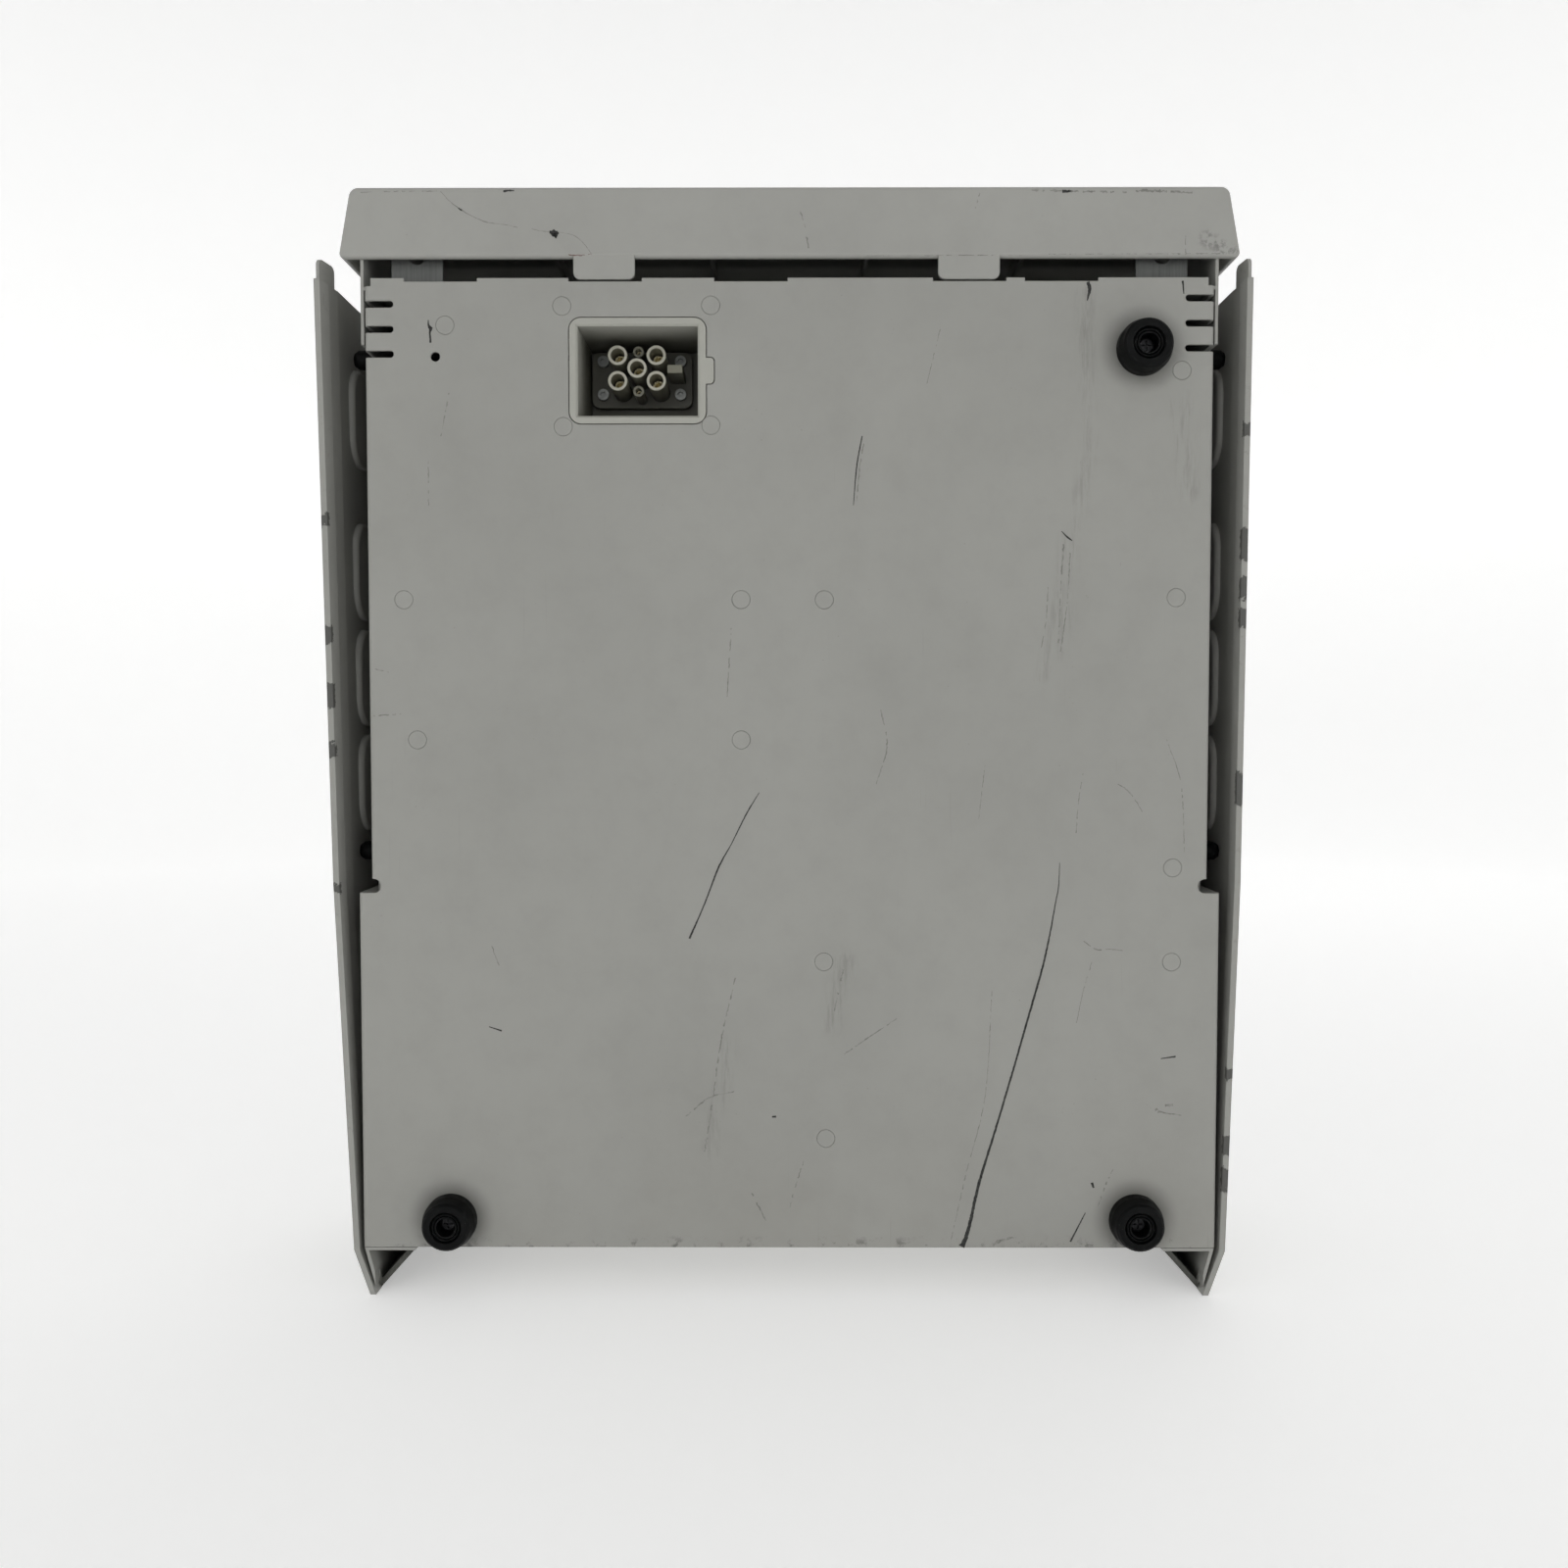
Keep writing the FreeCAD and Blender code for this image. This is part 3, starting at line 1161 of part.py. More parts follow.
def mains_inlet():
    """Bracket at lower right with the isolator rocker, the fuse holder and the earth stud."""
    wide = ("mains_left", "mains_right")
    tall = ("mains_low", "mains_high")
    plate = block(wide, ("mains_front", "mains_front + steel"), tall)
    foot = block(wide, ("mains_front", "mains_front + 32"), ("mains_low", "mains_low + steel"))
    side = block(("mains_right - steel", "mains_right"), ("mains_front", "back_y - steel - 0.2"),
                 tall)
    window = block(("mains_x - 14.2", "mains_x + 14.2"), ("mains_front - 8", "mains_front + 12"),
                   ("rocker_z - 14.2", "rocker_z + 14.2"))
    fuse_way = rod("Y", "fuse_x", "mains_front - 8", "fuse_z", 6.2, 20)
    node("mains_bracket", cut(join(plate, foot, side), window, fuse_way))
    housing = join(block(("mains_x - 14", "mains_x + 14"), ("mains_front - 2", "mains_front + 24"),
                         ("rocker_z - 14", "rocker_z + 14")),
                   block(("mains_x - 16", "mains_x + 16"), ("mains_front - 2", "mains_front - 0.1"),
                         ("rocker_z - 16", "rocker_z + 16")))
    space = block(("mains_x - rocker_half - 0.5", "mains_x + rocker_half + 0.5"),
                  ("mains_front - 3", "mains_front + 18"), ("rocker_z - 11.6", "rocker_z + 11.6"))
    pivot = rod("X", "mains_x - rocker_half - 2", "rocker_y", "rocker_z",
                "trunnion_r + pin_gap", "rocker_half * 2 + 4")
    node("mains_switch", cut(housing, space, pivot))
    body = new_body("RockerShell")
    wings = [("rocker_y + 6", "rocker_z - 8.6"), ("rocker_y - 8.6", "rocker_z - 9"),
             ("rocker_y - 5.2", "rocker_z"), ("rocker_y - 5.9", "rocker_z + 9"),
             ("rocker_y + 6", "rocker_z + 8.6"), ("rocker_y + 8", "rocker_z")]
    pad(body, outline(body, "YZ_Plane", wings, "mains_x - rocker_half"), "rocker_half * 2")
    trunnions = rod("X", "mains_x - rocker_half - 1.9", "rocker_y", "rocker_z",
                    "trunnion_r", "rocker_half * 2 + 3.8")
    node("mains_rocker", join(body, trunnions))
    node("fuse_holder", join(rod("Y", "fuse_x", "mains_front - 1", "fuse_z", 6, 30),
                             rod("Y", "fuse_x", "mains_front - 4.2", "fuse_z", 8, 4),
                             rod("Y", "fuse_x", "mains_front - 7.2", "fuse_z", 5.4, 4)))
    stud = join(hexagon("Y", "earth_x", -20, "earth_z", 9, 4),
                rod("Y", "earth_x", -24, "earth_z", 2.4, 12),
                rod("Y", "earth_x", -16, "earth_z", 5, 1))
    ear = block(("earth_x - 7", "upper_half + 3.8"), ("-15", "-15 + steel"),
                ("earth_z - 6", "earth_z + 6"))
    node("earth_stud", join(stud, ear))


def leads():
    """Internal wiring, each lead whole between its two ends."""
    y_top = SIZES["battery_back"] - 11.6
    z_top = SIZES["floor_z"] + SIZES["battery_tall"] + 12.3
    runs = {
        "red": [(-176, y_top, z_top), (-176, y_top, 143), (-176, 12, 143), (20, 12, 143),
                (20, 12, 128), (60, 12, 128), (60, 43, 128), (60, 43, 133.2)],
        "black": [(101, y_top, z_top), (101, y_top, 133.2)],
        "link": [(-53, y_top, z_top), (-53, y_top, 139), (-22, y_top, 139), (-22, y_top, z_top)],
    }
    node("battery_leads", bundle([tube_along("Lead", run, 1.4, 4) for run in runs.values()]))
    dock_back = SIZES["back_y"] - SIZES["well_deep"] - 14.1
    bundle_run = [(72.7, dock_back, 442.3), (72.7, dock_back - 14, 442.3),
                  (72.7, dock_back - 14, 400), (6, dock_back - 14, 400), (6, dock_back - 14, 340),
                  (6, 12, 340), (6, 12, 268), (6, 48, 268), (6, 48, 240), (32.4, 48, 240)]
    node("dock_harness", tube_along("DockHarness", bundle_run, 3, 7))
    body = new_body("RibbonShell")
    low = SIZES["board_y"] + 0.3
    high = SIZES["back_y"] - SIZES["steel"] - SIZES["stud_tall"] - 1.85
    path = [(f"{low}", "384"), (f"{low + 22}", "384"), (f"{low + 22}", "316"), (f"{high}", "316"),
            (f"{high}", "314.8"), (f"{low + 20.8}", "314.8"), (f"{low + 20.8}", "382.8"),
            (f"{low}", "382.8")]
    pad(body, outline(body, "YZ_Plane", path, "-62"), "34")
    round_edges(body, "4", "X", ribbon_corner)
    node("ribbon_cable", body)


def ribbon_corner(centre):
    """True for the ribbon's bends, not for its two cut ends."""
    return -30 < centre.y < 0


# ---------------------------------------------------------------- the whole panel

back_chassis()
clinch_standoffs()
hood()
top_frame()
cable_entries()
hood_brackets()
for cover_name, cover_side in SIDES.items():
    side_cover(cover_name, cover_side)
    corner_bracket(cover_name, cover_side)
rubber_feet()
side_buffers()
dock_well()
dock_connector()
front_door()
window_and_seal()
hinges()
latch()
operator_plate()
operator_bezel()
operator_controls()
operator_electronics()
boards()
power_supply()
batteries()
mains_inlet()
leads()
doc.recompute()

faults = []
for thing in doc.Objects:
    if "Invalid" in thing.State or "Error" in thing.State:
        faults.append(f"{thing.Label} ({thing.TypeId}): {thing.State}")
for thing in NODES:
    if thing.Shape.isNull() or not thing.Shape.isValid() or not thing.Shape.Solids:
        faults.append(f"{thing.Label}: shape is null, open or not valid")
if faults:
    raise RuntimeError("\n".join(faults))

os.makedirs("parts", exist_ok=True)
for thing in NODES:
    thing.Shape.exportStep(f"parts/{thing.Label}.step")
    box = thing.Shape.BoundBox
    print(f"{thing.Label:22s} solids {len(thing.Shape.Solids):3d}  volume {thing.Shape.Volume:10.1f}"
          f"  x {box.XMin:7.1f} {box.XMax:7.1f}  y {box.YMin:6.1f} {box.YMax:6.1f}"
          f"  z {box.ZMin:6.1f} {box.ZMax:6.1f}")
print(len(NODES), "nodes")
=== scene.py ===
import math
import random

import bmesh
import bpy
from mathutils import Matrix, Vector


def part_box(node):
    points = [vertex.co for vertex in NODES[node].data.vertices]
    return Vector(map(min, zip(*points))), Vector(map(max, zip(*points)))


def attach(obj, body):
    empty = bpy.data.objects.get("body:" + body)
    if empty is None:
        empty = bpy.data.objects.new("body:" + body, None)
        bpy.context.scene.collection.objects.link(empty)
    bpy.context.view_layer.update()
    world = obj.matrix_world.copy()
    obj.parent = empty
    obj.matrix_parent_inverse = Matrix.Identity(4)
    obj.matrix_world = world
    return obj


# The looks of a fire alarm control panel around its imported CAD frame. The back plate faces +Y and
# the door faces -Y. Lengths are metres, except in finishes and tables of places, which hold
# millimetres.

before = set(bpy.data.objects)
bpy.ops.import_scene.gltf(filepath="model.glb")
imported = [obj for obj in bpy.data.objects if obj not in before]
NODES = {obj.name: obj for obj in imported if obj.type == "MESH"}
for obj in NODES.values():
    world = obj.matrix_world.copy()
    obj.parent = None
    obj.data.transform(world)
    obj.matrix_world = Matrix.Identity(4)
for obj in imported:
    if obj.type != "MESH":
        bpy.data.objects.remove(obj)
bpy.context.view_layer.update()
MM = 0.001
FORWARD = (0, -1, 0)
BACKWARD = (0, 1, 0)


# ------------------------ camera, lights and stage

def make_camera():
    """Square on to the back plate, a little above its middle height."""
    data = bpy.data.cameras.new("Camera")
    data.sensor_width = 36
    data.lens = 32.625
    data.clip_start = 0.01
    camera = bpy.data.objects.new("Camera", data)
    camera.location = (0, 0.740, 0.2726)
    camera.rotation_euler = (math.radians(90 - 2.449), 0, math.radians(180.2))
    bpy.context.scene.collection.objects.link(camera)
    bpy.context.scene.camera = camera


def area_light(name, place, aim, size, power):
    data = bpy.data.lights.new(name, "AREA")
    data.shape = "RECTANGLE"
    data.size, data.size_y = size
    data.energy = power
    lamp = bpy.data.objects.new(name, data)
    lamp.location = place
    lamp.rotation_euler = (Vector(aim) - Vector(place)).to_track_quat("-Z", "Y").to_euler()
    bpy.context.scene.collection.objects.link(lamp)


def make_lights():
    """Soft panels above the back and the front, and an even pale sky."""
    area_light("KeyBack", (0.5, 1.7, 1.75), (0, 0.05, 0.27), (1.6, 1.2), 1.6)
    area_light("KeyFront", (-0.6, -1.7, 1.6), (0, -0.05, 0.27), (1.6, 1.2), 4.5)
    area_light("Top", (0, 0, 2.3), (0, 0, 0), (2.4, 2.4), 4)
    world = bpy.data.worlds.new("Sky")
    world.use_nodes = True
    sky = world.node_tree.nodes["Background"]
    sky.inputs["Color"].default_value = (1, 1, 1, 1)
    sky.inputs["Strength"].default_value = 0.2
    bpy.context.scene.world = world
    bpy.context.scene.view_settings.view_transform = "Standard"


def make_stage():
    """A pale floor that rises in a smooth curve to a wall all round."""
    flat, bend, wall = 2.2, 0.8, 1.6
    profile = [(flat, 0)]
    for step in range(1, 13):
        turn = step / 12 * math.pi / 2
        profile.append((flat + bend * math.sin(turn), bend * (1 - math.cos(turn))))
    profile.append((flat + bend, bend + wall))
    mesh = bmesh.new()
    rings = []
    around = 96
    for radius, height in profile:
        rings.append([mesh.verts.new((x, y, height)) for x, y in circle(radius, around)])
    mesh.faces.new(rings[0])
    for low, high in zip(rings, rings[1:]):
        join_rings(mesh, low, high)
    floor = object_from(mesh, "Floor", smooth=True)
    graph = Graph("StagePaint")
    graph.set("Base Color", (0.93, 0.93, 0.925))
    graph.set("Roughness", 0.85)
    graph.set("Specular IOR Level", 0.1)
    graph.set("Emission Color", (1, 1, 1))
    graph.set("Emission Strength", 0.34)
    floor.data.materials.append(graph.material)


# ------------------------ mesh helpers

def object_from(mesh, name, smooth=False):
    """Turns a bmesh into a linked object whose place is in its vertices."""
    bmesh.ops.recalc_face_normals(mesh, faces=mesh.faces)
    data = bpy.data.meshes.new(name)
    mesh.to_mesh(data)
    mesh.free()
    for face in data.polygons:
        face.use_smooth = smooth
    thing = bpy.data.objects.new(name, data)
    bpy.context.scene.collection.objects.link(thing)
    return thing


def add_box(mesh, low, high, bevel=0.0):
    """A box between two corners, its edges rounded by the bevel."""
    low, high = Vector(low), Vector(high)
    made = bmesh.ops.create_cube(mesh, size=1)
    for vert in made["verts"]:
        for i in range(3):
            vert.co[i] = low[i] + (vert.co[i] + 0.5) * (high[i] - low[i])
    if bevel:
        edges = list(dict.fromkeys(edge for vert in made["verts"] for edge in vert.link_edges))
        bmesh.ops.bevel(mesh, geom=edges, offset=bevel, segments=2, affect="EDGES", profile=0.5)


def circle(radius, around):
    """Points evenly round a circle."""
    turns = [math.tau * i / around for i in range(around)]
    return [(radius * math.cos(turn), radius * math.sin(turn)) for turn in turns]


def join_rings(mesh, low, high):
    """Faces between two rings of vertices, or a fan where one of them is a single vertex."""
    around = max(len(low), len(high))
    for i in range(around):
        j = (i + 1) % around
        if len(low) == 1:
            mesh.faces.new((low[0], high[j], high[i]))
        elif len(high) == 1:
            mesh.faces.new((low[i], low[j], high[0]))
        else:
            mesh.faces.new((low[i], low[j], high[j], high[i]))


def add_turned(mesh, base, axis, profile, around):
    """A closed solid turned about an axis from (radius, height) points along it."""
    turn = Vector((0, 0, 1)).rotation_difference(Vector(axis)).to_matrix()
    rings = []
    for radius, height in profile:
        spots = circle(radius, around) if radius else [(0, 0)]
        rings.append([mesh.verts.new(Vector(base) + turn @ Vector((x, y, height)))
                      for x, y in spots])
    for low, high in zip(rings, rings[1:]):
        join_rings(mesh, low, high)
    if len(rings[0]) > 1:
        mesh.faces.new(rings[0])
    if len(rings[-1]) > 1:
        mesh.faces.new(rings[-1])


def add_prism(mesh, corners, low, high):
    """A straight solid along Y from a closed outline of (x, z) corners."""
    near = [mesh.verts.new((x, low, z)) for x, z in corners]
    far = [mesh.verts.new((x, high, z)) for x, z in corners]
    mesh.faces.new(near)
    mesh.faces.new(far)
    join_rings(mesh, near, far)


def finish_piece(mesh, name, body, slot, material, smooth=False):
    """Links a bmesh as a piece of the object with its body and material. The slot is not used."""
    thing = object_from(mesh, name, smooth)
    thing.data.materials.append(material)
    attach(thing, body)
    if smooth:
        edge_split = thing.modifiers.new("Sharp", "EDGE_SPLIT")
        edge_split.split_angle = math.radians(35)
    return thing


# ------------------------ shader helpers

class Graph:
    """A material with short calls for the nodes that all the finishes share."""

    def __init__(self, name):
        self.material = bpy.data.materials.new(name)
        self.material.use_nodes = True
        self.tree = self.material.node_tree
        self.shader = self.tree.nodes["Principled BSDF"]
        self.place = self.new("ShaderNodeTexCoord").outputs["Object"]
        self.mm = self.vector("SCALE", self.place, scale=1 / MM)

    def new(self, kind):
        return self.tree.nodes.new(kind)

    def feed(self, socket, value):
        if isinstance(value, bpy.types.NodeSocket):
            self.tree.links.new(value, socket)
        elif socket.type == "RGBA":
            socket.default_value = (*value, 1)
        else:
            socket.default_value = value

    def set(self, name, value):
        self.feed(self.shader.inputs[name], value)

    def math(self, operation, first, second=0.0, third=0.0, clamp=False):
        node = self.new("ShaderNodeMath")
        node.operation = operation
        node.use_clamp = clamp
        for socket, value in zip(node.inputs, (first, second, third)):
            self.feed(socket, value)
        return node.outputs[0]

    def vector(self, operation, first, second=(0, 0, 0), scale=1.0):
        node = self.new("ShaderNodeVectorMath")
        node.operation = operation
        self.feed(node.inputs[0], first)
        if operation == "SCALE":
            self.feed(node.inputs["Scale"], scale)
        else:
            self.feed(node.inputs[1], second)
        return node.outputs["Value" if operation in ("LENGTH", "DOT_PRODUCT") else "Vector"]

    def noise(self, size_mm, detail=3.0, rough=0.55, stretch=(1, 1, 1), shift=(0, 0, 0)):
        """Noise whose features are about size_mm across, longer along a stretched axis."""
        node = self.new("ShaderNodeTexNoise")
        squeezed = self.vector("MULTIPLY", self.mm, tuple(1 / s for s in stretch))
        self.feed(node.inputs["Vector"], self.vector("ADD", squeezed, shift))
        node.inputs["Scale"].default_value = 1 / size_mm
        node.inputs["Detail"].default_value = detail
        node.inputs["Roughness"].default_value = rough
        return node.outputs[0]

    def cells(self, size_mm):
        node = self.new("ShaderNodeTexVoronoi")
        self.feed(node.inputs["Vector"], self.mm)
        node.inputs["Scale"].default_value = 1 / size_mm
        return node.outputs["Distance"]

    def ramp(self, value, low, high, to_low=0.0, to_high=1.0):
        """A smooth step of a value from low to high."""
        node = self.new("ShaderNodeMapRange")
        node.interpolation_type = "SMOOTHSTEP"
        for name, number in (("Value", value), ("From Min", low), ("From Max", high),
                             ("To Min", to_low), ("To Max", to_high)):
            self.feed(node.inputs[name], number)
        return node.outputs["Result"]

    def times(self, first, second):
        return self.math("MULTIPLY", first, second)

    def patches(self, size_mm, detail, low, high, to_low=0.0, to_high=1.0):
        """A smooth step of noise, so patches about size_mm across."""
        return self.ramp(self.noise(size_mm, detail), low, high, to_low, to_high)

    def sheen(self, size_mm, detail, smooth, rough):
        """Roughness that drifts between two values."""
        self.set("Roughness", self.patches(size_mm, detail, 0.2, 0.8, smooth, rough))

    def mix(self, share, first, second):
        node = self.new("ShaderNodeMix")
        node.data_type = "RGBA"
        self.feed(node.inputs[0], share)
        self.feed(node.inputs[6], first)
        self.feed(node.inputs[7], second)
        return node.outputs[2]

    def bump(self, height, depth_mm, strength=1.0, normal=None):
        node = self.new("ShaderNodeBump")
        node.inputs["Strength"].default_value = strength
        node.inputs["Distance"].default_value = depth_mm * MM
        self.feed(node.inputs["Height"], height)
        if normal is not None:
            self.feed(node.inputs["Normal"], normal)
        return node.outputs["Normal"]

    def relief(self, height, depth_mm, strength, radius_mm):
        """Sets the surface to fine relief over edges rounded by the radius."""
        self.set("Normal", self.bump(height, depth_mm, strength, self.soft_edge(radius_mm)))

    def soft_edge(self, radius_mm):
        """A normal that rounds sharp edges by the radius."""
        node = self.new("ShaderNodeBevel")
        node.samples = 3
        node.inputs["Radius"].default_value = radius_mm * MM
        return node.outputs["Normal"]

    def crevice(self, reach_mm):
        """1 in tight corners, 0 on open faces."""
        node = self.new("ShaderNodeAmbientOcclusion")
        node.samples = 4
        node.inputs["Distance"].default_value = reach_mm * MM
        return self.math("SUBTRACT", 1.0, node.outputs["AO"])

    def worn_edge(self, radius_mm):
        """1 on outside edges, where a rounded normal leaves the true one."""
        rounded = self.soft_edge(radius_mm)
        true = self.new("ShaderNodeNewGeometry").outputs["Normal"]
        away = self.math("SUBTRACT", 1.0, self.vector("DOT_PRODUCT", rounded, true))
        return self.ramp(away, 0.02, 0.25)

    def axes(self):
        """The place in millimetres, as three sockets named X, Y and Z."""
        node = self.new("ShaderNodeSeparateXYZ")
        self.feed(node.inputs[0], self.mm)
        return node.outputs

    def upright_plane(self):
        """The place with Z in the second slot, for patterns that lie in a plane."""
        place = self.axes()
        node = self.new("ShaderNodeCombineXYZ")
        self.feed(node.inputs[0], place["X"])
        self.feed(node.inputs[1], place["Z"])
        return node.outputs[0]

    def segment(self, start, end, wide_start, wide_end, point):
        """How deep a point lies inside a tapering line between two (x, z) places."""
        a = Vector((start[0], 0, start[1]))
        along = Vector((end[0], 0, end[1])) - a
        offset = self.vector("SUBTRACT", point, tuple(a))
        share = self.math("DIVIDE", self.vector("DOT_PRODUCT", offset, tuple(along)),
                          max(along.length_squared, 1e-6), clamp=True)
        foot = self.vector("SCALE", tuple(along), scale=share)
        gap = self.vector("LENGTH", self.vector("SUBTRACT", offset, foot))
        half = self.math("MULTIPLY_ADD", share, (wide_end - wide_start) / 2, wide_start / 2)
        return self.math("SUBTRACT", half, gap)

    def smears(self, lines, blur, jitter, level_y):
        """Coverage, 0 to 1, of soft lines of (x, z, width) on the surface at level_y."""
        wobble = self.new("ShaderNodeTexNoise")
        self.feed(wobble.inputs["Vector"], self.mm)
        wobble.inputs["Scale"].default_value = 0.16
        wobble.inputs["Detail"].default_value = 4
        shift = self.vector("SCALE", self.vector("SUBTRACT", wobble.outputs["Color"],
                                                 (0.5, 0.5, 0.5)), scale=jitter)
        flat = self.vector("MULTIPLY", self.vector("ADD", self.mm, shift), (1, 0, 1))
        depth = None
        for line in lines:
            for (x0, z0, w0), (x1, z1, w1) in zip(line, line[1:]):
                inside = self.segment((x0, z0), (x1, z1), w0, w1, flat)
                depth = inside if depth is None else self.math("MAXIMUM", depth, inside)
        cover = self.ramp(depth, -blur, blur * 0.4)
        on_surface = self.ramp(self.axes()["Y"], level_y - 0.4, level_y - 0.1)
        return self.times(cover, on_surface)


# ------------------------ finishes

PAINT = (0.352, 0.352, 0.329)
# A dirt tone, also used for painted shade in tight corners.
PAINT_DIRT_AND_SHADE = (0.165, 0.165, 0.145)
PRIMER = (0.075, 0.075, 0.07)

# Marks on the back plate and the hood: lines of (x, z, width) in millimetres.
DEEP_LINES = [
    [(-127.4, 207, 0.25), (-127, 196, 0.4), (-125.6, 188, 0.5), (-123.2, 174, 0.7),
     (-119.6, 157, 0.95), (-113, 133, 1.0), (-107.2, 112, 0.9), (-98.6, 82, 1.0),
     (-90.6, 55, 1.3), (-86.4, 36, 1.6), (-84, 27, 1.9), (-82.2, 23.6, 3.0)],
    [(14, 240, 0.3), (20, 230, 0.6), (27, 216, 0.45), (33, 205, 0.8), (40, 187, 0.6),
     (47, 171, 0.9)],
    [(-34, 406, 0.5), (-31.5, 392, 0.6), (-30, 374, 0.3)],
    [(167.3, 459.4, 0.4), (167.2, 457, 1.0), (166.2, 455.6, 1.9), (166.6, 454, 0.9),
     (166.4, 449, 0.9)],
    [(-141, 40, 0.4), (-134, 26, 0.9)],
    [(-137, 479, 1.2), (-139, 474, 1.6), (-138, 468, 0.5)],
    [(-182, 477, 0.9), (-182.6, 471, 0.4)],
    [(-127, 362, 0.3), (-130, 359, 0.8), (-132, 357.6, 0.4)],
    [(142, 129, 0.4), (136, 127, 0.8)],
    [(-176, 114, 0.4), (-183, 115, 0.8)],
    [(6, 86, 1.0), (8, 86, 0.8)],
    [(-144, 54.5, 1.2), (-144.8, 52, 0.9)],
]
FINE_LINES = [
    [(27, 317, 0.4), (28, 300, 0.5), (29, 285, 0.3)],
    [(-43, 279, 0.4), (-46, 262, 0.6), (-41, 244, 0.4)],
    [(-153, 245, 0.5), (-160, 240, 0.5), (-166, 231, 0.3)],
    [(-26, 158, 0.7), (-21, 135, 0.5)],
    [(25, 154, 0.5), (32, 123, 0.6), (36, 95, 0.5), (40, 69, 0.8)],
    [(-7, 65, 0.4), (-3, 52, 0.7), (0, 41, 0.4)],
    [(168, 395, 0.4), (168, 374, 0.4)],
    [(158, 426, 0.5), (162, 406, 0.3)],
    [(-138, 249, 0.4), (-136, 236, 0.3), (-135, 221, 0.4)],
    [(-177, 265, 0.3), (-184, 244, 0.4), (-186, 212, 0.3)],
    [(141, 169, 0.5), (137, 158, 0.4)],
    [(49, 86, 0.4), (38, 95, 0.6), (26, 98, 0.4)],
    [(-77, 26, 0.3), (-84, 58, 0.4), (-93, 96, 0.3), (-96, 147, 0.3)],
    [(-139, 170, 0.3), (-145, 166, 0.5), (-152, 166, 0.4), (-160, 165, 0.3)],
    [(-143, 160, 0.5), (-139, 146, 0.4), (-136, 131, 0.3)],
    [(-182, 92, 0.8), (-176, 91, 1.2), (-174, 89, 0.9), (-186, 87, 0.5)],
    [(-154, 61, 0.4), (-150, 52, 0.7), (-147, 43, 0.4)],
    [(18, 50, 0.4), (14, 42, 0.6), (11, 36, 0.3)],
    [(-97, 25, 1.6), (-104, 27.4, 1.2), (-107, 28, 0.6)],
    [(-63, 24, 1.6), (-66, 24.2, 0.9)],
    [(-129, 24, 1.2), (-131, 24, 0.7)],
    [(-51, 133, 0.3), (-26, 116, 0.6)],
    [(-89, 226, 0.3), (-92, 253, 0.3)],
    [(194, 298, 0.4), (186, 296, 0.4)],
    [(195, 276, 0.6), (182, 277, 0.4)],
    [(-70, 455, 0.3), (-64, 430, 0.3)],
    [(-35, 404, 0.5), (-33, 392, 0.6), (-31.5, 376, 0.3)],
    [(-128, 356, 0.7), (-127, 338, 0.5), (-126, 310, 0.6)],
    [(-131, 352, 0.5), (-130, 330, 0.4), (-127, 306, 0.5)],
    [(-118, 308, 0.3), (-120, 320, 0.4), (-121, 336, 0.3)],
]
# Places of the three rubber feet; the second one is torn.
FEET = ((-164.1, 445.9), (160.9, 36.4), (-164.6, 36.5))
SMUDGES = [
    [(-131, 358, 5), (-128, 306, 3)],
    [(-139, 395, 3), (-119, 295, 2)],
    [(-137, 470, 5), (-140, 400, 2)],
    [(-77, 21, 5), (-118, 21, 4)],
    [(-183, 420, 8), (-186, 380, 5)],
    [(28, 120, 5), (38, 70, 3)],
    [(-26, 160, 7), (-20, 130, 5)],
]
# Painted shade where the hood is holed: black strips in place of the holes.
HOOD_HOLE_SHADE = [
    [(153.0, 510.6, 0.5), (151.2, 509.4, 1.0)],
    [(132, 518.2, 0.9), (127, 518.4, 0.7)],
    [(-126, 517.6, 1.4), (-130, 517.8, 0.8)],
    [(110.8, 499.6, 1.0), (109.0, 499.3, 2.6), (107.2, 499.0, 2.6), (106.6, 499.3, 1.2)],
    [(108.4, 499.0, 2.2), (107.9, 497.2, 1.4), (107.8, 496.6, 0.5)],
]
HOOD_CRACKS = [
    [(161, 518, 0.35), (157, 513.8, 0.3), (152.4, 510.2, 0.45), (148, 507.6, 0.3),
     (143.5, 505.4, 0.4), (139.5, 503.9, 0.4), (131, 502.8, 0.2), (125.5, 501.6, 0.25)],
    [(119, 500.9, 0.3), (113, 499.8, 0.25), (106, 499.4, 0.2), (99.5, 497.9, 0.25),
     (95.2, 494.6, 0.25), (92.6, 491.2, 0.3), (91.2, 489.2, 0.3)],
]
HOOD_SCUFFS = [
    [(-4, 512, 0.5), (-7, 503, 0.6), (-9, 492, 0.7)],
    [(-88, 517, 0.4), (-86, 510, 0.4)],
    [(-183, 500, 0.35), (-183.2, 489, 0.4)],
    [(-111, 518.4, 0.8), (-150, 517.4, 0.7), (-165, 518, 1.0), (-186, 517, 0.7)],
    [(-120, 489.3, 0.4), (-200, 489.5, 0.6)],
    [(-108, 488.8, 0.3), (-36, 488.8, 0.4)],
    [(161, 518.2, 0.3), (186, 518.0, 0.35), (198, 517.6, 0.3)],
]
HOOD_STAIN = [[(103, 489.4, 0.4), (97, 489.0, 0.55), (91.4, 489.6, 0.4)]]
# Chips on the rear hem of each side cover: the side's sign, then low and high places on it.
HEM_CHIPS = [(1, 365, 370), (1, 311, 318), (1, 280, 291), (1, 257, 263), (1, 193, 197),
             (-1, 406, 412), (-1, 348, 363), (-1, 331, 341), (-1, 317, 326), (-1, 235, 249),
             (-1, 104, 109), (-1, 68, 77), (-1, 51, 62)]


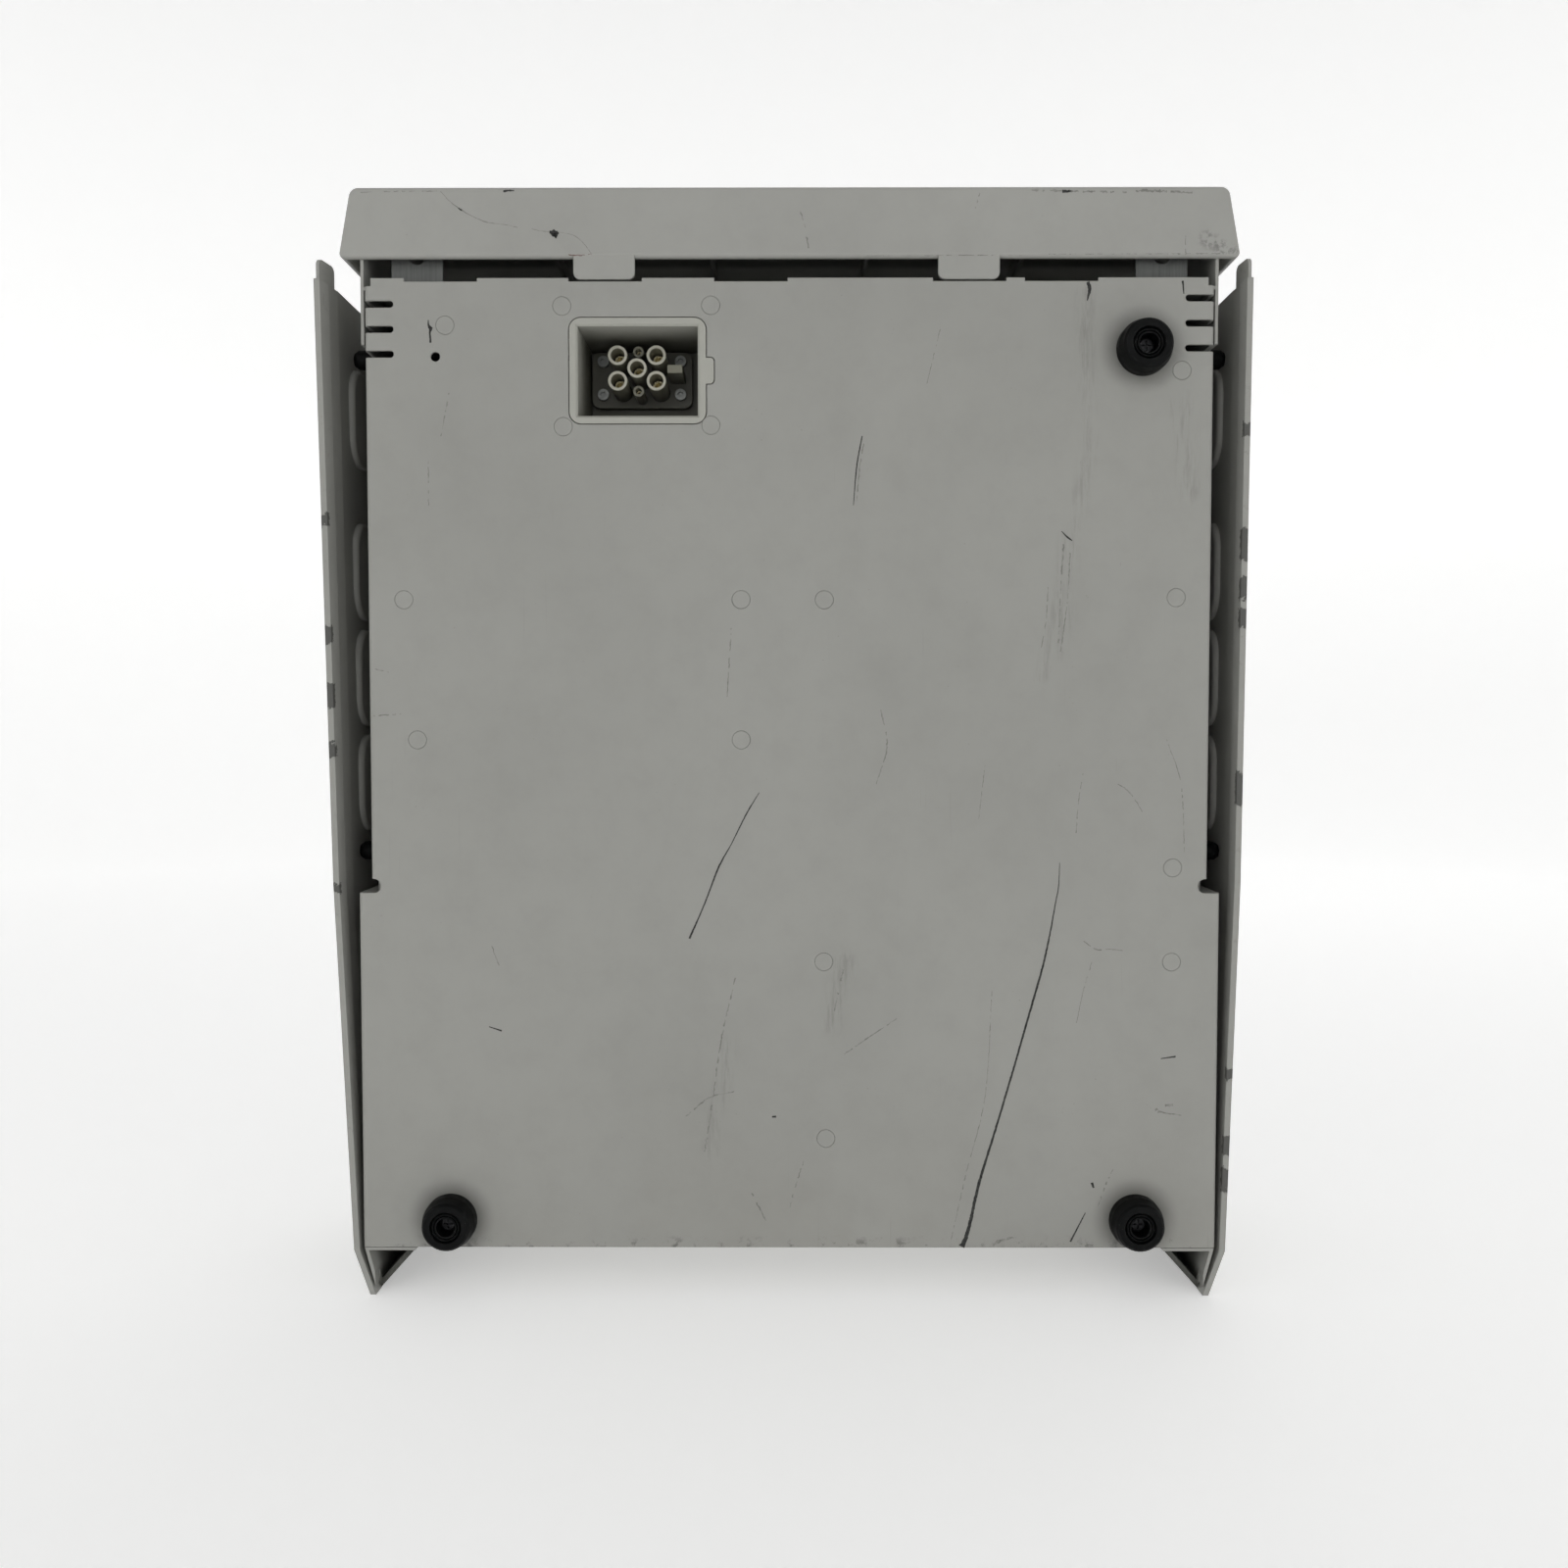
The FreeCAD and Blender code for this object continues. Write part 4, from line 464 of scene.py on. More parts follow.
def paint_base(graph, tint=PAINT, bands=True):
    """Even grey-white powder coat: broad tone drift, fine specks, and painted shade in tight
    corners, in patches.
    """
    drift = graph.noise(140, 3, 0.5)
    tone = graph.mix(graph.ramp(drift, 0.3, 0.7), tint, tuple(0.93 * c for c in tint))
    cloud = graph.noise(18, 5, 0.65)
    tone = graph.mix(graph.ramp(cloud, 0.35, 0.8, 0, 0.10), tone, PAINT_DIRT_AND_SHADE)
    specks = graph.times(graph.ramp(graph.cells(4.5), 0.10, 0.03), graph.patches(26, 2, 0.52, 0.72))
    tone = graph.mix(graph.times(specks, 0.42), tone, PAINT_DIRT_AND_SHADE)
    if bands:
        hair = graph.noise(1.3, 2, 0.6, stretch=(1, 1, 45))
        gate = graph.ramp(graph.noise(60, 2, 0.5, shift=(31, 7, 11)), 0.5, 0.75)
        tone = graph.mix(graph.times(graph.ramp(hair, 0.66, 0.80, 0, 0.34), gate), tone,
                         PAINT_DIRT_AND_SHADE)
    # Painted shade: darker in tight corners, in patches.
    crevice_grime_and_shade = graph.times(graph.ramp(graph.crevice(5), 0.35, 0.95), graph.patches(9, 4, 0.3, 0.75))
    return graph.mix(graph.times(crevice_grime_and_shade, 0.35), tone, PAINT_DIRT_AND_SHADE)


def coat_texture(graph, normal, pits=None):
    """Orange-peel relief of the coat, its sheen, and the marks cut into it."""
    peel = graph.noise(1.1, 2, 0.5)
    relief = graph.math("ADD", peel, graph.times(graph.noise(0.35, 1), 0.4))
    surface = graph.bump(relief, 0.03, 0.35, normal)
    if pits is not None:
        surface = graph.bump(graph.math("SUBTRACT", 1.0, pits), 0.25, 0.9, surface)
    graph.set("Normal", surface)
    graph.sheen(30, 4, 0.46, 0.62)
    graph.set("Specular IOR Level", 0.32)


def case_paint():
    """Powder coat with paint rubbed through in short runs on outside edges."""
    graph = Graph("CasePaint")
    tone = paint_base(graph)
    rub = graph.times(graph.worn_edge(0.7), graph.patches(11, 4, 0.56, 0.64))
    tone = graph.mix(graph.times(rub, 0.35), tone, PRIMER)
    graph.set("Base Color", tone)
    coat_texture(graph, graph.soft_edge(0.45), rub)
    return graph.material


def back_plate_paint():
    """The coat of the back chassis, with smudges, painted shadow round the feet and a worn lower
    edge.
    """
    graph = Graph("BackPlatePaint")
    tone = paint_base(graph)
    plate_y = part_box("back_chassis")[1].y / MM
    smudge = graph.smears(SMUDGES, 5, 3, plate_y)
    streaks = graph.noise(2.4, 5, 0.7, stretch=(1, 1, 8))
    smudge = graph.times(smudge, graph.ramp(streaks, 0.42, 0.72))
    tone = graph.mix(graph.times(smudge, 0.4), tone, PAINT_DIRT_AND_SHADE)
    height = graph.axes()["Z"]
    flat = graph.vector("MULTIPLY", graph.mm, (1, 0, 1))
    # Painted shadow: the plate darkens towards each rubber foot.
    foot_radius, shadow_reach = 12, 22
    foot_shadow = None
    for x, z in FEET:
        away = graph.vector("LENGTH", graph.vector("SUBTRACT", flat, (x, 0, z)))
        ring = graph.ramp(away, shadow_reach, foot_radius, 0, 0.55)
        foot_shadow = ring if foot_shadow is None else graph.math("MAXIMUM", foot_shadow, ring)
    tone = graph.mix(foot_shadow, tone, (0.11, 0.11, 0.10))
    plate_bottom, worn_up_to = 23.2, 30
    low_edge = graph.ramp(height, worn_up_to, plate_bottom)
    rubbed = graph.times(low_edge, graph.ramp(graph.noise(7, 5, 0.7, shift=(5, 5, 5)), 0.53, 0.66))
    tone = graph.mix(graph.times(rubbed, 0.7), tone, PRIMER)
    # Browner and darker towards the bottom, in patches.
    brown_tint = graph.times(graph.ramp(height, 120, 20), graph.patches(60, 4, 0.35, 0.8))
    tone = graph.mix(graph.times(brown_tint, 0.12), tone, (0.25, 0.22, 0.17))
    edge = graph.times(graph.worn_edge(0.6), graph.patches(14, 4, 0.6, 0.68))
    tone = graph.mix(graph.times(edge, 0.5), tone, PRIMER)
    graph.set("Base Color", tone)
    coat_texture(graph, graph.soft_edge(0.5), edge)
    return graph.material


def hood_plastic():
    """Moulded hood: fine grain, rubbed edges and one worn corner."""
    graph = Graph("HoodPlastic")
    tone = paint_base(graph, tuple(c * 1.03 for c in PAINT), bands=False)
    plate_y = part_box("hood")[1].y / MM
    corner = graph.smears([[(-193, 496, 4), (-206, 488.6, 3)]], 4, 3, plate_y)
    corner = graph.times(corner, graph.ramp(graph.noise(3, 5, 0.7), 0.45, 0.62))
    tone = graph.mix(graph.times(corner, 0.55), tone, PRIMER)
    rub = graph.times(graph.worn_edge(1.0), graph.patches(16, 4, 0.55, 0.68))
    tone = graph.mix(graph.times(rub, 0.4), tone, PAINT_DIRT_AND_SHADE)
    graph.set("Base Color", tone)
    graph.relief(graph.cells(0.7), 0.02, 0.3, 0.8)
    graph.sheen(40, 4, 0.42, 0.56)
    return graph.material


def bracket_paint():
    """Corner brackets: coated on the flange and outer edge, painted dark as shade on the diagonal.
    """
    graph = Graph("BracketPaint")
    place = graph.axes()
    outer_edge, flange_level = 198, 20
    outer = graph.ramp(graph.math("ABSOLUTE", place["X"]), outer_edge - 1.6, outer_edge)
    flange = graph.ramp(place["Z"], flange_level, flange_level + 1.2)
    coated = graph.math("MAXIMUM", outer, flange)
    # Painted shade: dark everywhere off the coated flange and outer edge.
    diagonal_shade = graph.mix(graph.patches(9, 4, 0.3, 0.7, 0, 0.5), (0.075, 0.076, 0.066),
                     (0.045, 0.046, 0.04))
    graph.set("Base Color", graph.mix(coated, diagonal_shade, paint_base(graph)))
    coat_texture(graph, graph.soft_edge(0.45))
    return graph.material


def cover_paint():
    """Side covers: dark chips along the rear hem and scuffs near it."""
    graph = Graph("CoverPaint")
    tone = paint_base(graph)
    place = graph.axes()
    hem_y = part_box("side_cover_left")[1].y / MM
    bitten = graph.math("MULTIPLY_ADD", graph.noise(2.2, 5, 0.7), 7.0, -3.5)
    hem_deep = hem_y - 2.6
    hem = graph.ramp(graph.math("ADD", place["Y"], bitten), hem_deep, hem_deep + 0.5)
    ragged = graph.math("MULTIPLY_ADD", graph.noise(3.5, 5, 0.7), 11.0, -5.5)
    level = graph.math("ADD", place["Z"], ragged)
    chips = None
    for sign, low, high in HEM_CHIPS:
        span = graph.times(graph.ramp(level, low - 0.4, low), graph.ramp(level, high + 0.4, high))
        side = graph.ramp(graph.times(place["X"], sign), 0, 1)
        spot = graph.times(span, side)
        chips = spot if chips is None else graph.math("MAXIMUM", chips, spot)
    chips = graph.times(hem, chips)
    tone = graph.mix(graph.times(chips, 0.9), tone, PRIMER)
    scuff = graph.times(graph.ramp(place["Y"], hem_y - 18, hem_y - 2),
                        graph.ramp(graph.noise(6, 5, 0.7), 0.58, 0.74))
    tone = graph.mix(graph.times(scuff, 0.35), tone, PAINT_DIRT_AND_SHADE)
    graph.set("Base Color", tone)
    coat_texture(graph, graph.soft_edge(0.45), chips)
    return graph.material


def steel(name, tint, rough, grain=(1, 1, 1)):
    """Plated or plain metal with fine grain, cloudy tone and a few dull spots."""
    graph = Graph(name)
    grainy = graph.noise(0.9, 3, 0.6, stretch=grain)
    cloudy = graph.noise(16, 4)
    shaded = tuple(c * 0.72 for c in tint)
    tone = graph.mix(graph.ramp(cloudy, 0.3, 0.75, 0, 0.5), tint, shaded)
    spots = graph.times(graph.ramp(graph.cells(6), 0.16, 0.04), graph.patches(30, 2, 0.5, 0.7))
    graph.set("Base Color", graph.mix(graph.times(spots, 0.5), tone, (0.20, 0.18, 0.15)))
    graph.set("Metallic", 0.92)
    graph.set("Roughness", graph.ramp(grainy, 0.25, 0.75, *rough))
    graph.relief(grainy, 0.015, 0.4, 0.25)
    return graph.material


def plastic(name, tint, rough=0.42, grain_mm=0.6, dust=0.12):
    """Moulded plastic: spark-eroded grain, uneven sheen and pale dust in its corners."""
    graph = Graph(name)
    cloudy = graph.noise(22, 4)
    shaded = tuple(c * 0.82 for c in tint)
    tone = graph.mix(graph.ramp(cloudy, 0.3, 0.75, 0, 0.45), tint, shaded)
    settled = graph.times(graph.ramp(graph.crevice(3), 0.3, 0.9), graph.patches(4, 4, 0.35, 0.7))
    graph.set("Base Color", graph.mix(graph.times(settled, dust), tone, (0.30, 0.29, 0.26)))
    graph.sheen(12, 4, rough - 0.07, rough + 0.1)
    graph.relief(graph.cells(grain_mm), 0.015, 0.5, 0.3)
    return graph.material


def rubber():
    """Moulded rubber: near black, dusty on top, scuffed pale on its outer edges."""
    graph = Graph("BlackRubber")
    tone = graph.mix(graph.patches(7, 5, 0.35, 0.75, 0, 0.6), (0.0012, 0.0015, 0.0016),
                     (0.004, 0.0045, 0.0045))
    flecks = graph.times(graph.ramp(graph.cells(1.7), 0.12, 0.03), graph.patches(8, 3, 0.55, 0.68))
    rub = graph.times(graph.worn_edge(0.5), graph.patches(3, 4, 0.5, 0.66))
    marks = graph.math("MAXIMUM", graph.times(flecks, 0.5), graph.times(rub, 0.22))
    graph.set("Base Color", graph.mix(marks, tone, (0.22, 0.22, 0.21)))
    graph.set("Roughness", graph.patches(5, 4, 0.25, 0.75, 0.38, 0.6))
    graph.set("Specular IOR Level", 0.12)
    graph.relief(graph.noise(0.5, 3), 0.03, 0.4, 0.3)
    return graph.material


def well_plastic():
    """Moulded insert: the plate's tone at its flange, olive and darker down inside, darker still in
    its corners: painted shade.
    """
    graph = Graph("WellPlastic")
    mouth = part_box("dock_well")[1].y / MM
    # Painted shade: dark deep in the well, the plate's tone at its mouth.
    depth = graph.ramp(graph.axes()["Y"], mouth - 34, mouth - 1)
    cloudy = graph.patches(14, 4, 0.3, 0.75, 0, 0.35)
    inside = graph.mix(cloudy, (0.105, 0.102, 0.078), (0.065, 0.064, 0.048))
    tone = graph.mix(depth, inside, (0.385, 0.385, 0.345))
    # Painted shade in tight corners.
    crevice_grime_and_shade = graph.ramp(graph.crevice(5), 0.25, 0.9, 0, 0.5)
    graph.set("Base Color", graph.mix(crevice_grime_and_shade, tone, (0.045, 0.045, 0.034)))
    graph.sheen(9, 3, 0.4, 0.54)
    graph.relief(graph.cells(0.6), 0.015, 0.4, 0.3)
    return graph.material


def dock_nylon():
    """Glass-filled nylon insert, yellowed, with a paler rim on each tube, dark low down in the well
    and in its corners as painted shade.
    """
    graph = Graph("DockNylon")
    low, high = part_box("dock_connector")
    front = graph.axes()["Y"]
    rim = graph.ramp(front, high.y / MM - 1.4, high.y / MM - 0.2)
    # Painted shade: dark low down in the well, lighter towards the front.
    lit_share = graph.ramp(front, low.y / MM + 14, high.y / MM - 2)
    base = graph.mix(graph.patches(8, 4, 0.3, 0.7, 0, 0.6), (0.085, 0.083, 0.063),
                     (0.062, 0.061, 0.045))
    tone = graph.mix(lit_share, base, (0.24, 0.235, 0.18))
    tone = graph.mix(rim, tone, (0.50, 0.49, 0.41))
    # Painted shade in tight corners.
    crevice_grime_and_shade = graph.ramp(graph.crevice(4), 0.3, 0.9, 0, 0.45)
    graph.set("Base Color", graph.mix(crevice_grime_and_shade, tone, (0.06, 0.06, 0.045)))
    graph.sheen(3, 3, 0.38, 0.5)
    graph.relief(graph.noise(0.6, 3), 0.02, 0.4, 0.25)
    return graph.material


def clear_window():
    """Clear sheet with faint wiping haze."""
    graph = Graph("ClearWindow")
    haze = graph.noise(25, 5, 0.65, stretch=(3, 1, 1))
    graph.set("Base Color", graph.mix(graph.ramp(haze, 0.4, 0.8, 0, 0.4), (0.94, 0.96, 0.96),
                                      (0.80, 0.83, 0.82)))
    graph.set("Roughness", graph.ramp(haze, 0.35, 0.8, 0.02, 0.10))
    graph.set("Transmission Weight", 1.0)
    graph.set("IOR", 1.08)
    graph.set("Alpha", graph.ramp(haze, 0.4, 0.8, 0.22, 0.34))
    graph.set("Normal", graph.bump(haze, 0.02, 0.15))
    return graph.material


def circuit_board():
    """Green solder mask over a raised net of tracks, with tinned pads in a grid."""
    graph = Graph("CircuitBoard")
    place = graph.axes()
    pad_pitch, brick = 2.54, 7.5
    tracks = graph.new("ShaderNodeTexBrick")
    graph.feed(tracks.inputs["Vector"], graph.upright_plane())
    tracks.inputs["Scale"].default_value = 1 / brick
    tracks.inputs["Mortar Size"].default_value = 0.035
    tracks.inputs["Color1"].default_value = (0.010, 0.085, 0.032, 1)
    tracks.inputs["Color2"].default_value = (0.012, 0.105, 0.040, 1)
    tracks.inputs["Mortar"].default_value = (0.022, 0.185, 0.075, 1)
    cell_x = graph.math("PINGPONG", place["X"], pad_pitch / 2)
    cell_z = graph.math("PINGPONG", place["Z"], pad_pitch / 2)
    near = graph.math("SQRT", graph.math("ADD", graph.times(cell_x, cell_x),
                                         graph.times(cell_z, cell_z)))
    pads = graph.times(graph.ramp(near, 0.62, 0.5), graph.ramp(graph.noise(19, 1, 0.2), 0.54, 0.56))
    graph.set("Base Color", graph.mix(pads, tracks.outputs["Color"], (0.55, 0.55, 0.5)))
    graph.set("Metallic", graph.times(pads, 0.8))
    graph.sheen(8, 3, 0.26, 0.4)
    height_map = graph.math("ADD", tracks.outputs["Fac"], pads)
    graph.set("Normal", graph.bump(height_map, 0.05, 0.5))
    return graph.material


def ribbon_cable():
    """Flat cable of parallel cores, one edge core red, with a painted highlight on each core's
    crown and painted shade between cores.
    """
    graph = Graph("RibbonCable")
    across = graph.axes()["X"]
    pitch, red_core = 1.27, -60.6
    core = graph.math("PINGPONG", across, pitch / 2)
    crown_and_highlight = graph.ramp(core, 0.0, pitch / 2)
    edge = graph.ramp(across, red_core, red_core - 0.3)
    # Painted light: lighter on each core's crown, darker between the cores.
    tone = graph.mix(crown_and_highlight, (0.13, 0.13, 0.135), (0.34, 0.34, 0.35))
    graph.set("Base Color", graph.mix(edge, tone, (0.42, 0.03, 0.03)))
    graph.sheen(6, 3, 0.34, 0.48)
    graph.set("Normal", graph.bump(crown_and_highlight, 0.3, 0.9))
    return graph.material


def display_face():
    """Unlit character display: dark green glass with its grid of character cells."""
    graph = Graph("DisplayFace")
    low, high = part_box("display_module")
    place = graph.axes()
    cell_wide, cell_tall = 3.55, 9.8
    cell_x = graph.math("PINGPONG", place["X"], cell_wide / 2)
    cell_z = graph.math("PINGPONG", place["Z"], cell_tall / 2)
    inside = graph.times(graph.ramp(cell_x, 0.25, 0.45), graph.ramp(cell_z, 0.7, 1.0))
    spans = []
    for axis, border in (("X", 12), ("Z", 16)):
        near = getattr(low, axis.lower()) / MM + border
        far = getattr(high, axis.lower()) / MM - border
        spans.append(graph.times(graph.ramp(place[axis], near, near + 0.3),
                                 graph.ramp(place[axis], far, far - 0.3)))
    window = graph.times(spans[0], spans[1])
    face = graph.mix(graph.times(inside, 0.5), (0.090, 0.125, 0.055), (0.060, 0.090, 0.040))
    graph.set("Base Color", graph.mix(window, (0.02, 0.021, 0.022), face))
    graph.sheen(10, 3, 0.18, 0.28)
    graph.set("Normal", graph.bump(inside, 0.02, 0.3))
    return graph.material


def lens_plastic():
    """Milky indicator lenses: red at the top, amber between and green at the bottom."""
    graph = Graph("LensPlastic")
    height = graph.axes()["Z"]
    red_above, green_below = 391, 358
    red = graph.ramp(height, red_above, red_above + 1)
    green = graph.ramp(height, green_below, green_below - 1)
    tone = graph.mix(red, (0.55, 0.30, 0.04), (0.45, 0.03, 0.025))
    tone = graph.mix(green, tone, (0.05, 0.34, 0.09))
    graph.set("Base Color", graph.mix(graph.patches(1.2, 3, 0.3, 0.7, 0, 0.25), tone,
                                      (0.5, 0.5, 0.45)))
    graph.sheen(2, 3, 0.2, 0.34)
    graph.set("Subsurface Weight", 0.2)
    graph.set("Subsurface Radius", (0.001, 0.001, 0.001))
    graph.relief(graph.noise(0.8, 2), 0.01, 0.3, 0.3)
    return graph.material


def lead_insulation():
    """Round leads, red as far as the last battery post and black past it, finely ribbed."""
    graph = Graph("LeadInsulation")
    last_post = 80
    red = graph.ramp(graph.axes()["X"], last_post, last_post - 2)
    tone = graph.mix(red, (0.015, 0.015, 0.017), (0.36, 0.018, 0.016))
    graph.set("Base Color", graph.mix(graph.patches(5, 4, 0.4, 0.8, 0, 0.3), tone,
                                      (0.12, 0.11, 0.10)))
    graph.sheen(4, 3, 0.32, 0.46)
    graph.set("Normal", graph.bump(graph.noise(0.9, 3, 0.6, stretch=(3, 3, 3)), 0.03, 0.4))
    return graph.material


# ------------------------ materials on the CAD nodes

def dress(material, *names):
    for name in names:
        for holder in NODES[name].material_slots:
            holder.material = material
        if not NODES[name].material_slots:
            NODES[name].data.materials.append(material)


def dress_all():
    """Every CAD node gets its finish. Returns the finishes that added pieces share."""
    shared = {
        "paint": case_paint(),
        "zinc": steel("ZincSheet", (0.56, 0.57, 0.58), (0.28, 0.46), (1, 1, 30)),
        "screw": steel("ScrewSteel", (0.62, 0.62, 0.60), (0.22, 0.38)),
        "chrome": steel("Nickel", (0.72, 0.72, 0.71), (0.10, 0.22)),
        "copper": steel("TinnedContact", (0.74, 0.66, 0.42), (0.2, 0.34)),
        "black": plastic("BlackNylon", (0.018, 0.018, 0.020), 0.40),
        "rubber": rubber(),
        "white": plastic("PaleLegend", (0.62, 0.62, 0.60), 0.45, dust=0.0),
        "board": circuit_board(),
        "chip": plastic("ChipEpoxy", (0.022, 0.022, 0.024), 0.52, grain_mm=0.3, dust=0.05),
    }
    dress(back_plate_paint(), "back_chassis")
    dress(hood_plastic(), "hood")
    dress(cover_paint(), "side_cover_left", "side_cover_right")
    dress(bracket_paint(), "corner_bracket_left", "corner_bracket_right")
    dress(shared["paint"], "front_door", "operator_plate", "clinch_standoffs", "top_frame")
    # Painted shade: the hood brackets get a darkened copy of the zinc.
    dress(steel("ShadedZinc", (0.15, 0.155, 0.15), (0.5, 0.7), (1, 1, 30)), "hood_brackets")
    dress(steel("BlackOxide", (0.03, 0.03, 0.032), (0.35, 0.5)), "foot_screws")
    dress(shared["zinc"], "hinge_leaves_chassis", "hinge_leaves_door",
          "battery_strap", "mains_bracket", "power_supply_case", "latch_cam")
    dress(shared["screw"], "hinge_pins", "earth_stud")
    dress(steel("DullScrew", (0.26, 0.27, 0.26), (0.35, 0.5)), "dock_screws")
    dress(shared["chrome"], "enable_rotor", "latch_barrel", "enable_switch")
    dress(shared["rubber"], "rubber_feet", "side_buffers", "door_seal", "window_gasket",
          "blanking_grommets")
    dress(well_plastic(), "dock_well")
    dress(dock_nylon(), "dock_connector")
    dress(shared["copper"], "dock_contacts")
    dress(shared["black"], "latch_knob", "fuse_holder", "mains_switch", "sounder")
    dress(plastic("GlandNylon", (0.09, 0.09, 0.095), 0.45), "cable_glands")
    dress(plastic("RockerRed", (0.33, 0.02, 0.018), 0.3), "mains_rocker")
    dress(plastic("BatteryCase", (0.045, 0.050, 0.058), 0.46, grain_mm=0.9), "battery_left",
          "battery_right")
    dress(plastic("BezelPlastic", (0.045, 0.052, 0.062), 0.5, grain_mm=0.45), "operator_bezel")
    dress(clear_window(), "door_window", "display_lens")
    dress(plastic("ButtonGrey", (0.40, 0.41, 0.42), 0.38), "button_silence", "button_mute",
          "button_previous", "button_next")
    dress(plastic("ButtonRed", (0.50, 0.025, 0.02), 0.34), "button_evacuate")
    dress(plastic("ButtonGreen", (0.03, 0.25, 0.08), 0.34), "button_reset")
    dress(lens_plastic(), "indicator_lenses")
    dress(display_face(), "display_module")
    dress(shared["board"], "display_board", "main_board", "loop_board")
    dress(plastic("TerminalGreen", (0.03, 0.26, 0.12), 0.4), "terminal_blocks")
    dress(shared["chip"], "board_components")
    dress(steel("TransformerIron", (0.22, 0.20, 0.17), (0.5, 0.7)), "transformer")
    dress(lead_insulation(), "battery_leads", "dock_harness")
    dress(ribbon_cable(), "ribbon_cable")
    return shared


# ------------------------ marks on the back

def surface_y(node, x, z):
    """Y where a straight line from behind first meets a node, or None."""
    behind = 0.2
    hit, place = NODES[node].ray_cast(Vector((x, behind, z)), Vector(FORWARD))[:2]
    return place.y if hit else None


def resampled(line, step):
    """Points of a smooth curve through (x, z, width) places, about a step apart."""
    points = [Vector(p) for p in line]
    points = [points[0] * 2 - points[1]] + points + [points[-1] * 2 - points[-2]]
    out = []
    for a, b, c, d in zip(points, points[1:], points[2:], points[3:]):
        count = max(2, int((c - b).xy.length / step))
        for i in range(count):
            t = i / count
            out.append(0.5 * (2 * b + (c - a) * t + (2 * a - 5 * b + 4 * c - d) * t * t
                              + (3 * b - 3 * c + d - a) * t ** 3))
    out.append(points[-2])
    return out


def mark_strips(mesh, lines, node, chance, ragged, skip):
    """Thin ragged strips along each line, just proud of a node's surface."""
    proud, sunk, step = 0.03, -0.02, 0.8
    for line in lines:
        section = None
        points = resampled(line, step)
        for i, point in enumerate(points):
            ahead = points[min(i + 1, len(points) - 1)] - points[max(i - 1, 0)]
            side = Vector((-ahead.y, ahead.x)).normalized()
            half = point.z / 2
            middle = point.xy + side * half * ragged * chance.uniform(-0.6, 0.6)
            left = middle + side * half * (1 + ragged * chance.uniform(-1, 1))
            right = middle - side * half * (1 + ragged * chance.uniform(-1, 1))
            y = surface_y(node, point.x * MM, point.y * MM)
            if y is None or chance.random() < skip:
                section = None
                continue
            corners = [mesh.verts.new((x * MM, y + lift * MM, z * MM))
                       for (x, z), lift in ((left, proud), (right, proud), (right, sunk),
                                            (left, sunk))]
            if section:
                for j in range(4):
                    k = (j + 1) % 4
                    mesh.faces.new((section[j], section[k], corners[k], corners[j]))
            section = corners


def marks(name, lines, node, slot, material, seed, ragged, skip=0.0):
    mesh = bmesh.new()
    mark_strips(mesh, lines, node, random.Random(seed), ragged, skip)
    loose = [vert for vert in mesh.verts if not vert.link_faces]
    bmesh.ops.delete(mesh, geom=loose, context="VERTS")
    finish_piece(mesh, name, "chassis", slot, material)


def mark_material(name, tint, spread):
    """Bare or rubbed metal seen through the coat, uneven along each mark; the same colours also
    serve for a stain and for painted shade in holes.
    """
    graph = Graph(name)
    graph.set("Base Color", graph.mix(graph.patches(2.5, 4, 0.3, 0.7, 0, spread), tint, PAINT))
    graph.sheen(3, 3, 0.6, 0.85)
    graph.set("Normal", graph.bump(graph.noise(0.5, 3), 0.03, 0.4))
    return graph.material


def wear_marks():
    """Scratches on the plate; the crack and scuffs of the hood, and painted shade where it is
    holed.
    """
    black = mark_material("ScratchAndHoleShadeBlack", (0.006, 0.006, 0.006), 0.10)
    grey = mark_material("ScratchGrey", (0.17, 0.17, 0.155), 0.7)
    marks("plate_scratches", DEEP_LINES, "back_chassis", "painted_steel", black, 3, 0.16)
    marks("plate_hairlines", FINE_LINES, "back_chassis", "painted_steel", grey, 5, 0.7, 0.14)
    # Painted shade: black strips stand in for the hood's broken holes.
    marks("hood_hole_shade", HOOD_HOLE_SHADE, "hood", "hood_plastic", black, 7, 0.45)
    marks("hood_cracks", HOOD_CRACKS, "hood", "hood_plastic", grey, 13, 0.6)
    rust = mark_material("StainRed", (0.12, 0.05, 0.04), 0.5)
    marks("hood_stain", HOOD_STAIN, "hood", "hood_plastic", rust, 15, 0.7, 0.2)
    marks("hood_scuffs", HOOD_SCUFFS, "hood", "hood_plastic", grey, 9, 0.7, 0.2)


# ------------------------ small pieces

LEGENDS = {
    "button_silence": [(-4, -2.5), (-1.5, -2.5), (1.2, -4), (1.2, 4), (-1.5, 2.5), (-4, 2.5)],
    "button_reset": [(-3, -3), (3, -3), (3, 3), (-3, 3)],
    "button_evacuate": [(-4, -3), (4, -3), (0, 4)],
    "button_mute": [(-4, -0.8), (4, -0.8), (4, 0.8), (-4, 0.8)],
    "button_previous": [(2.4, -3.6), (2.4, 3.6), (-3.2, 0)],
    "button_next": [(-2.4, -3.6), (3.2, 0), (-2.4, 3.6)],
}


def button_legends(shared):
    """A raised plain symbol on each cap, which moves with its button."""
    size, proud, sunk = 0.8 * MM, 0.12 * MM, 0.2 * MM
    for label, outline in LEGENDS.items():
        low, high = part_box(label)
        centre = (low + high) / 2
        mesh = bmesh.new()
        add_prism(mesh, [(centre.x + x * size, centre.z + z * size) for x, z in outline],
                  low.y - proud, low.y + sunk)
        finish_piece(mesh, label + "_symbol", label, "button_grey", shared["white"])


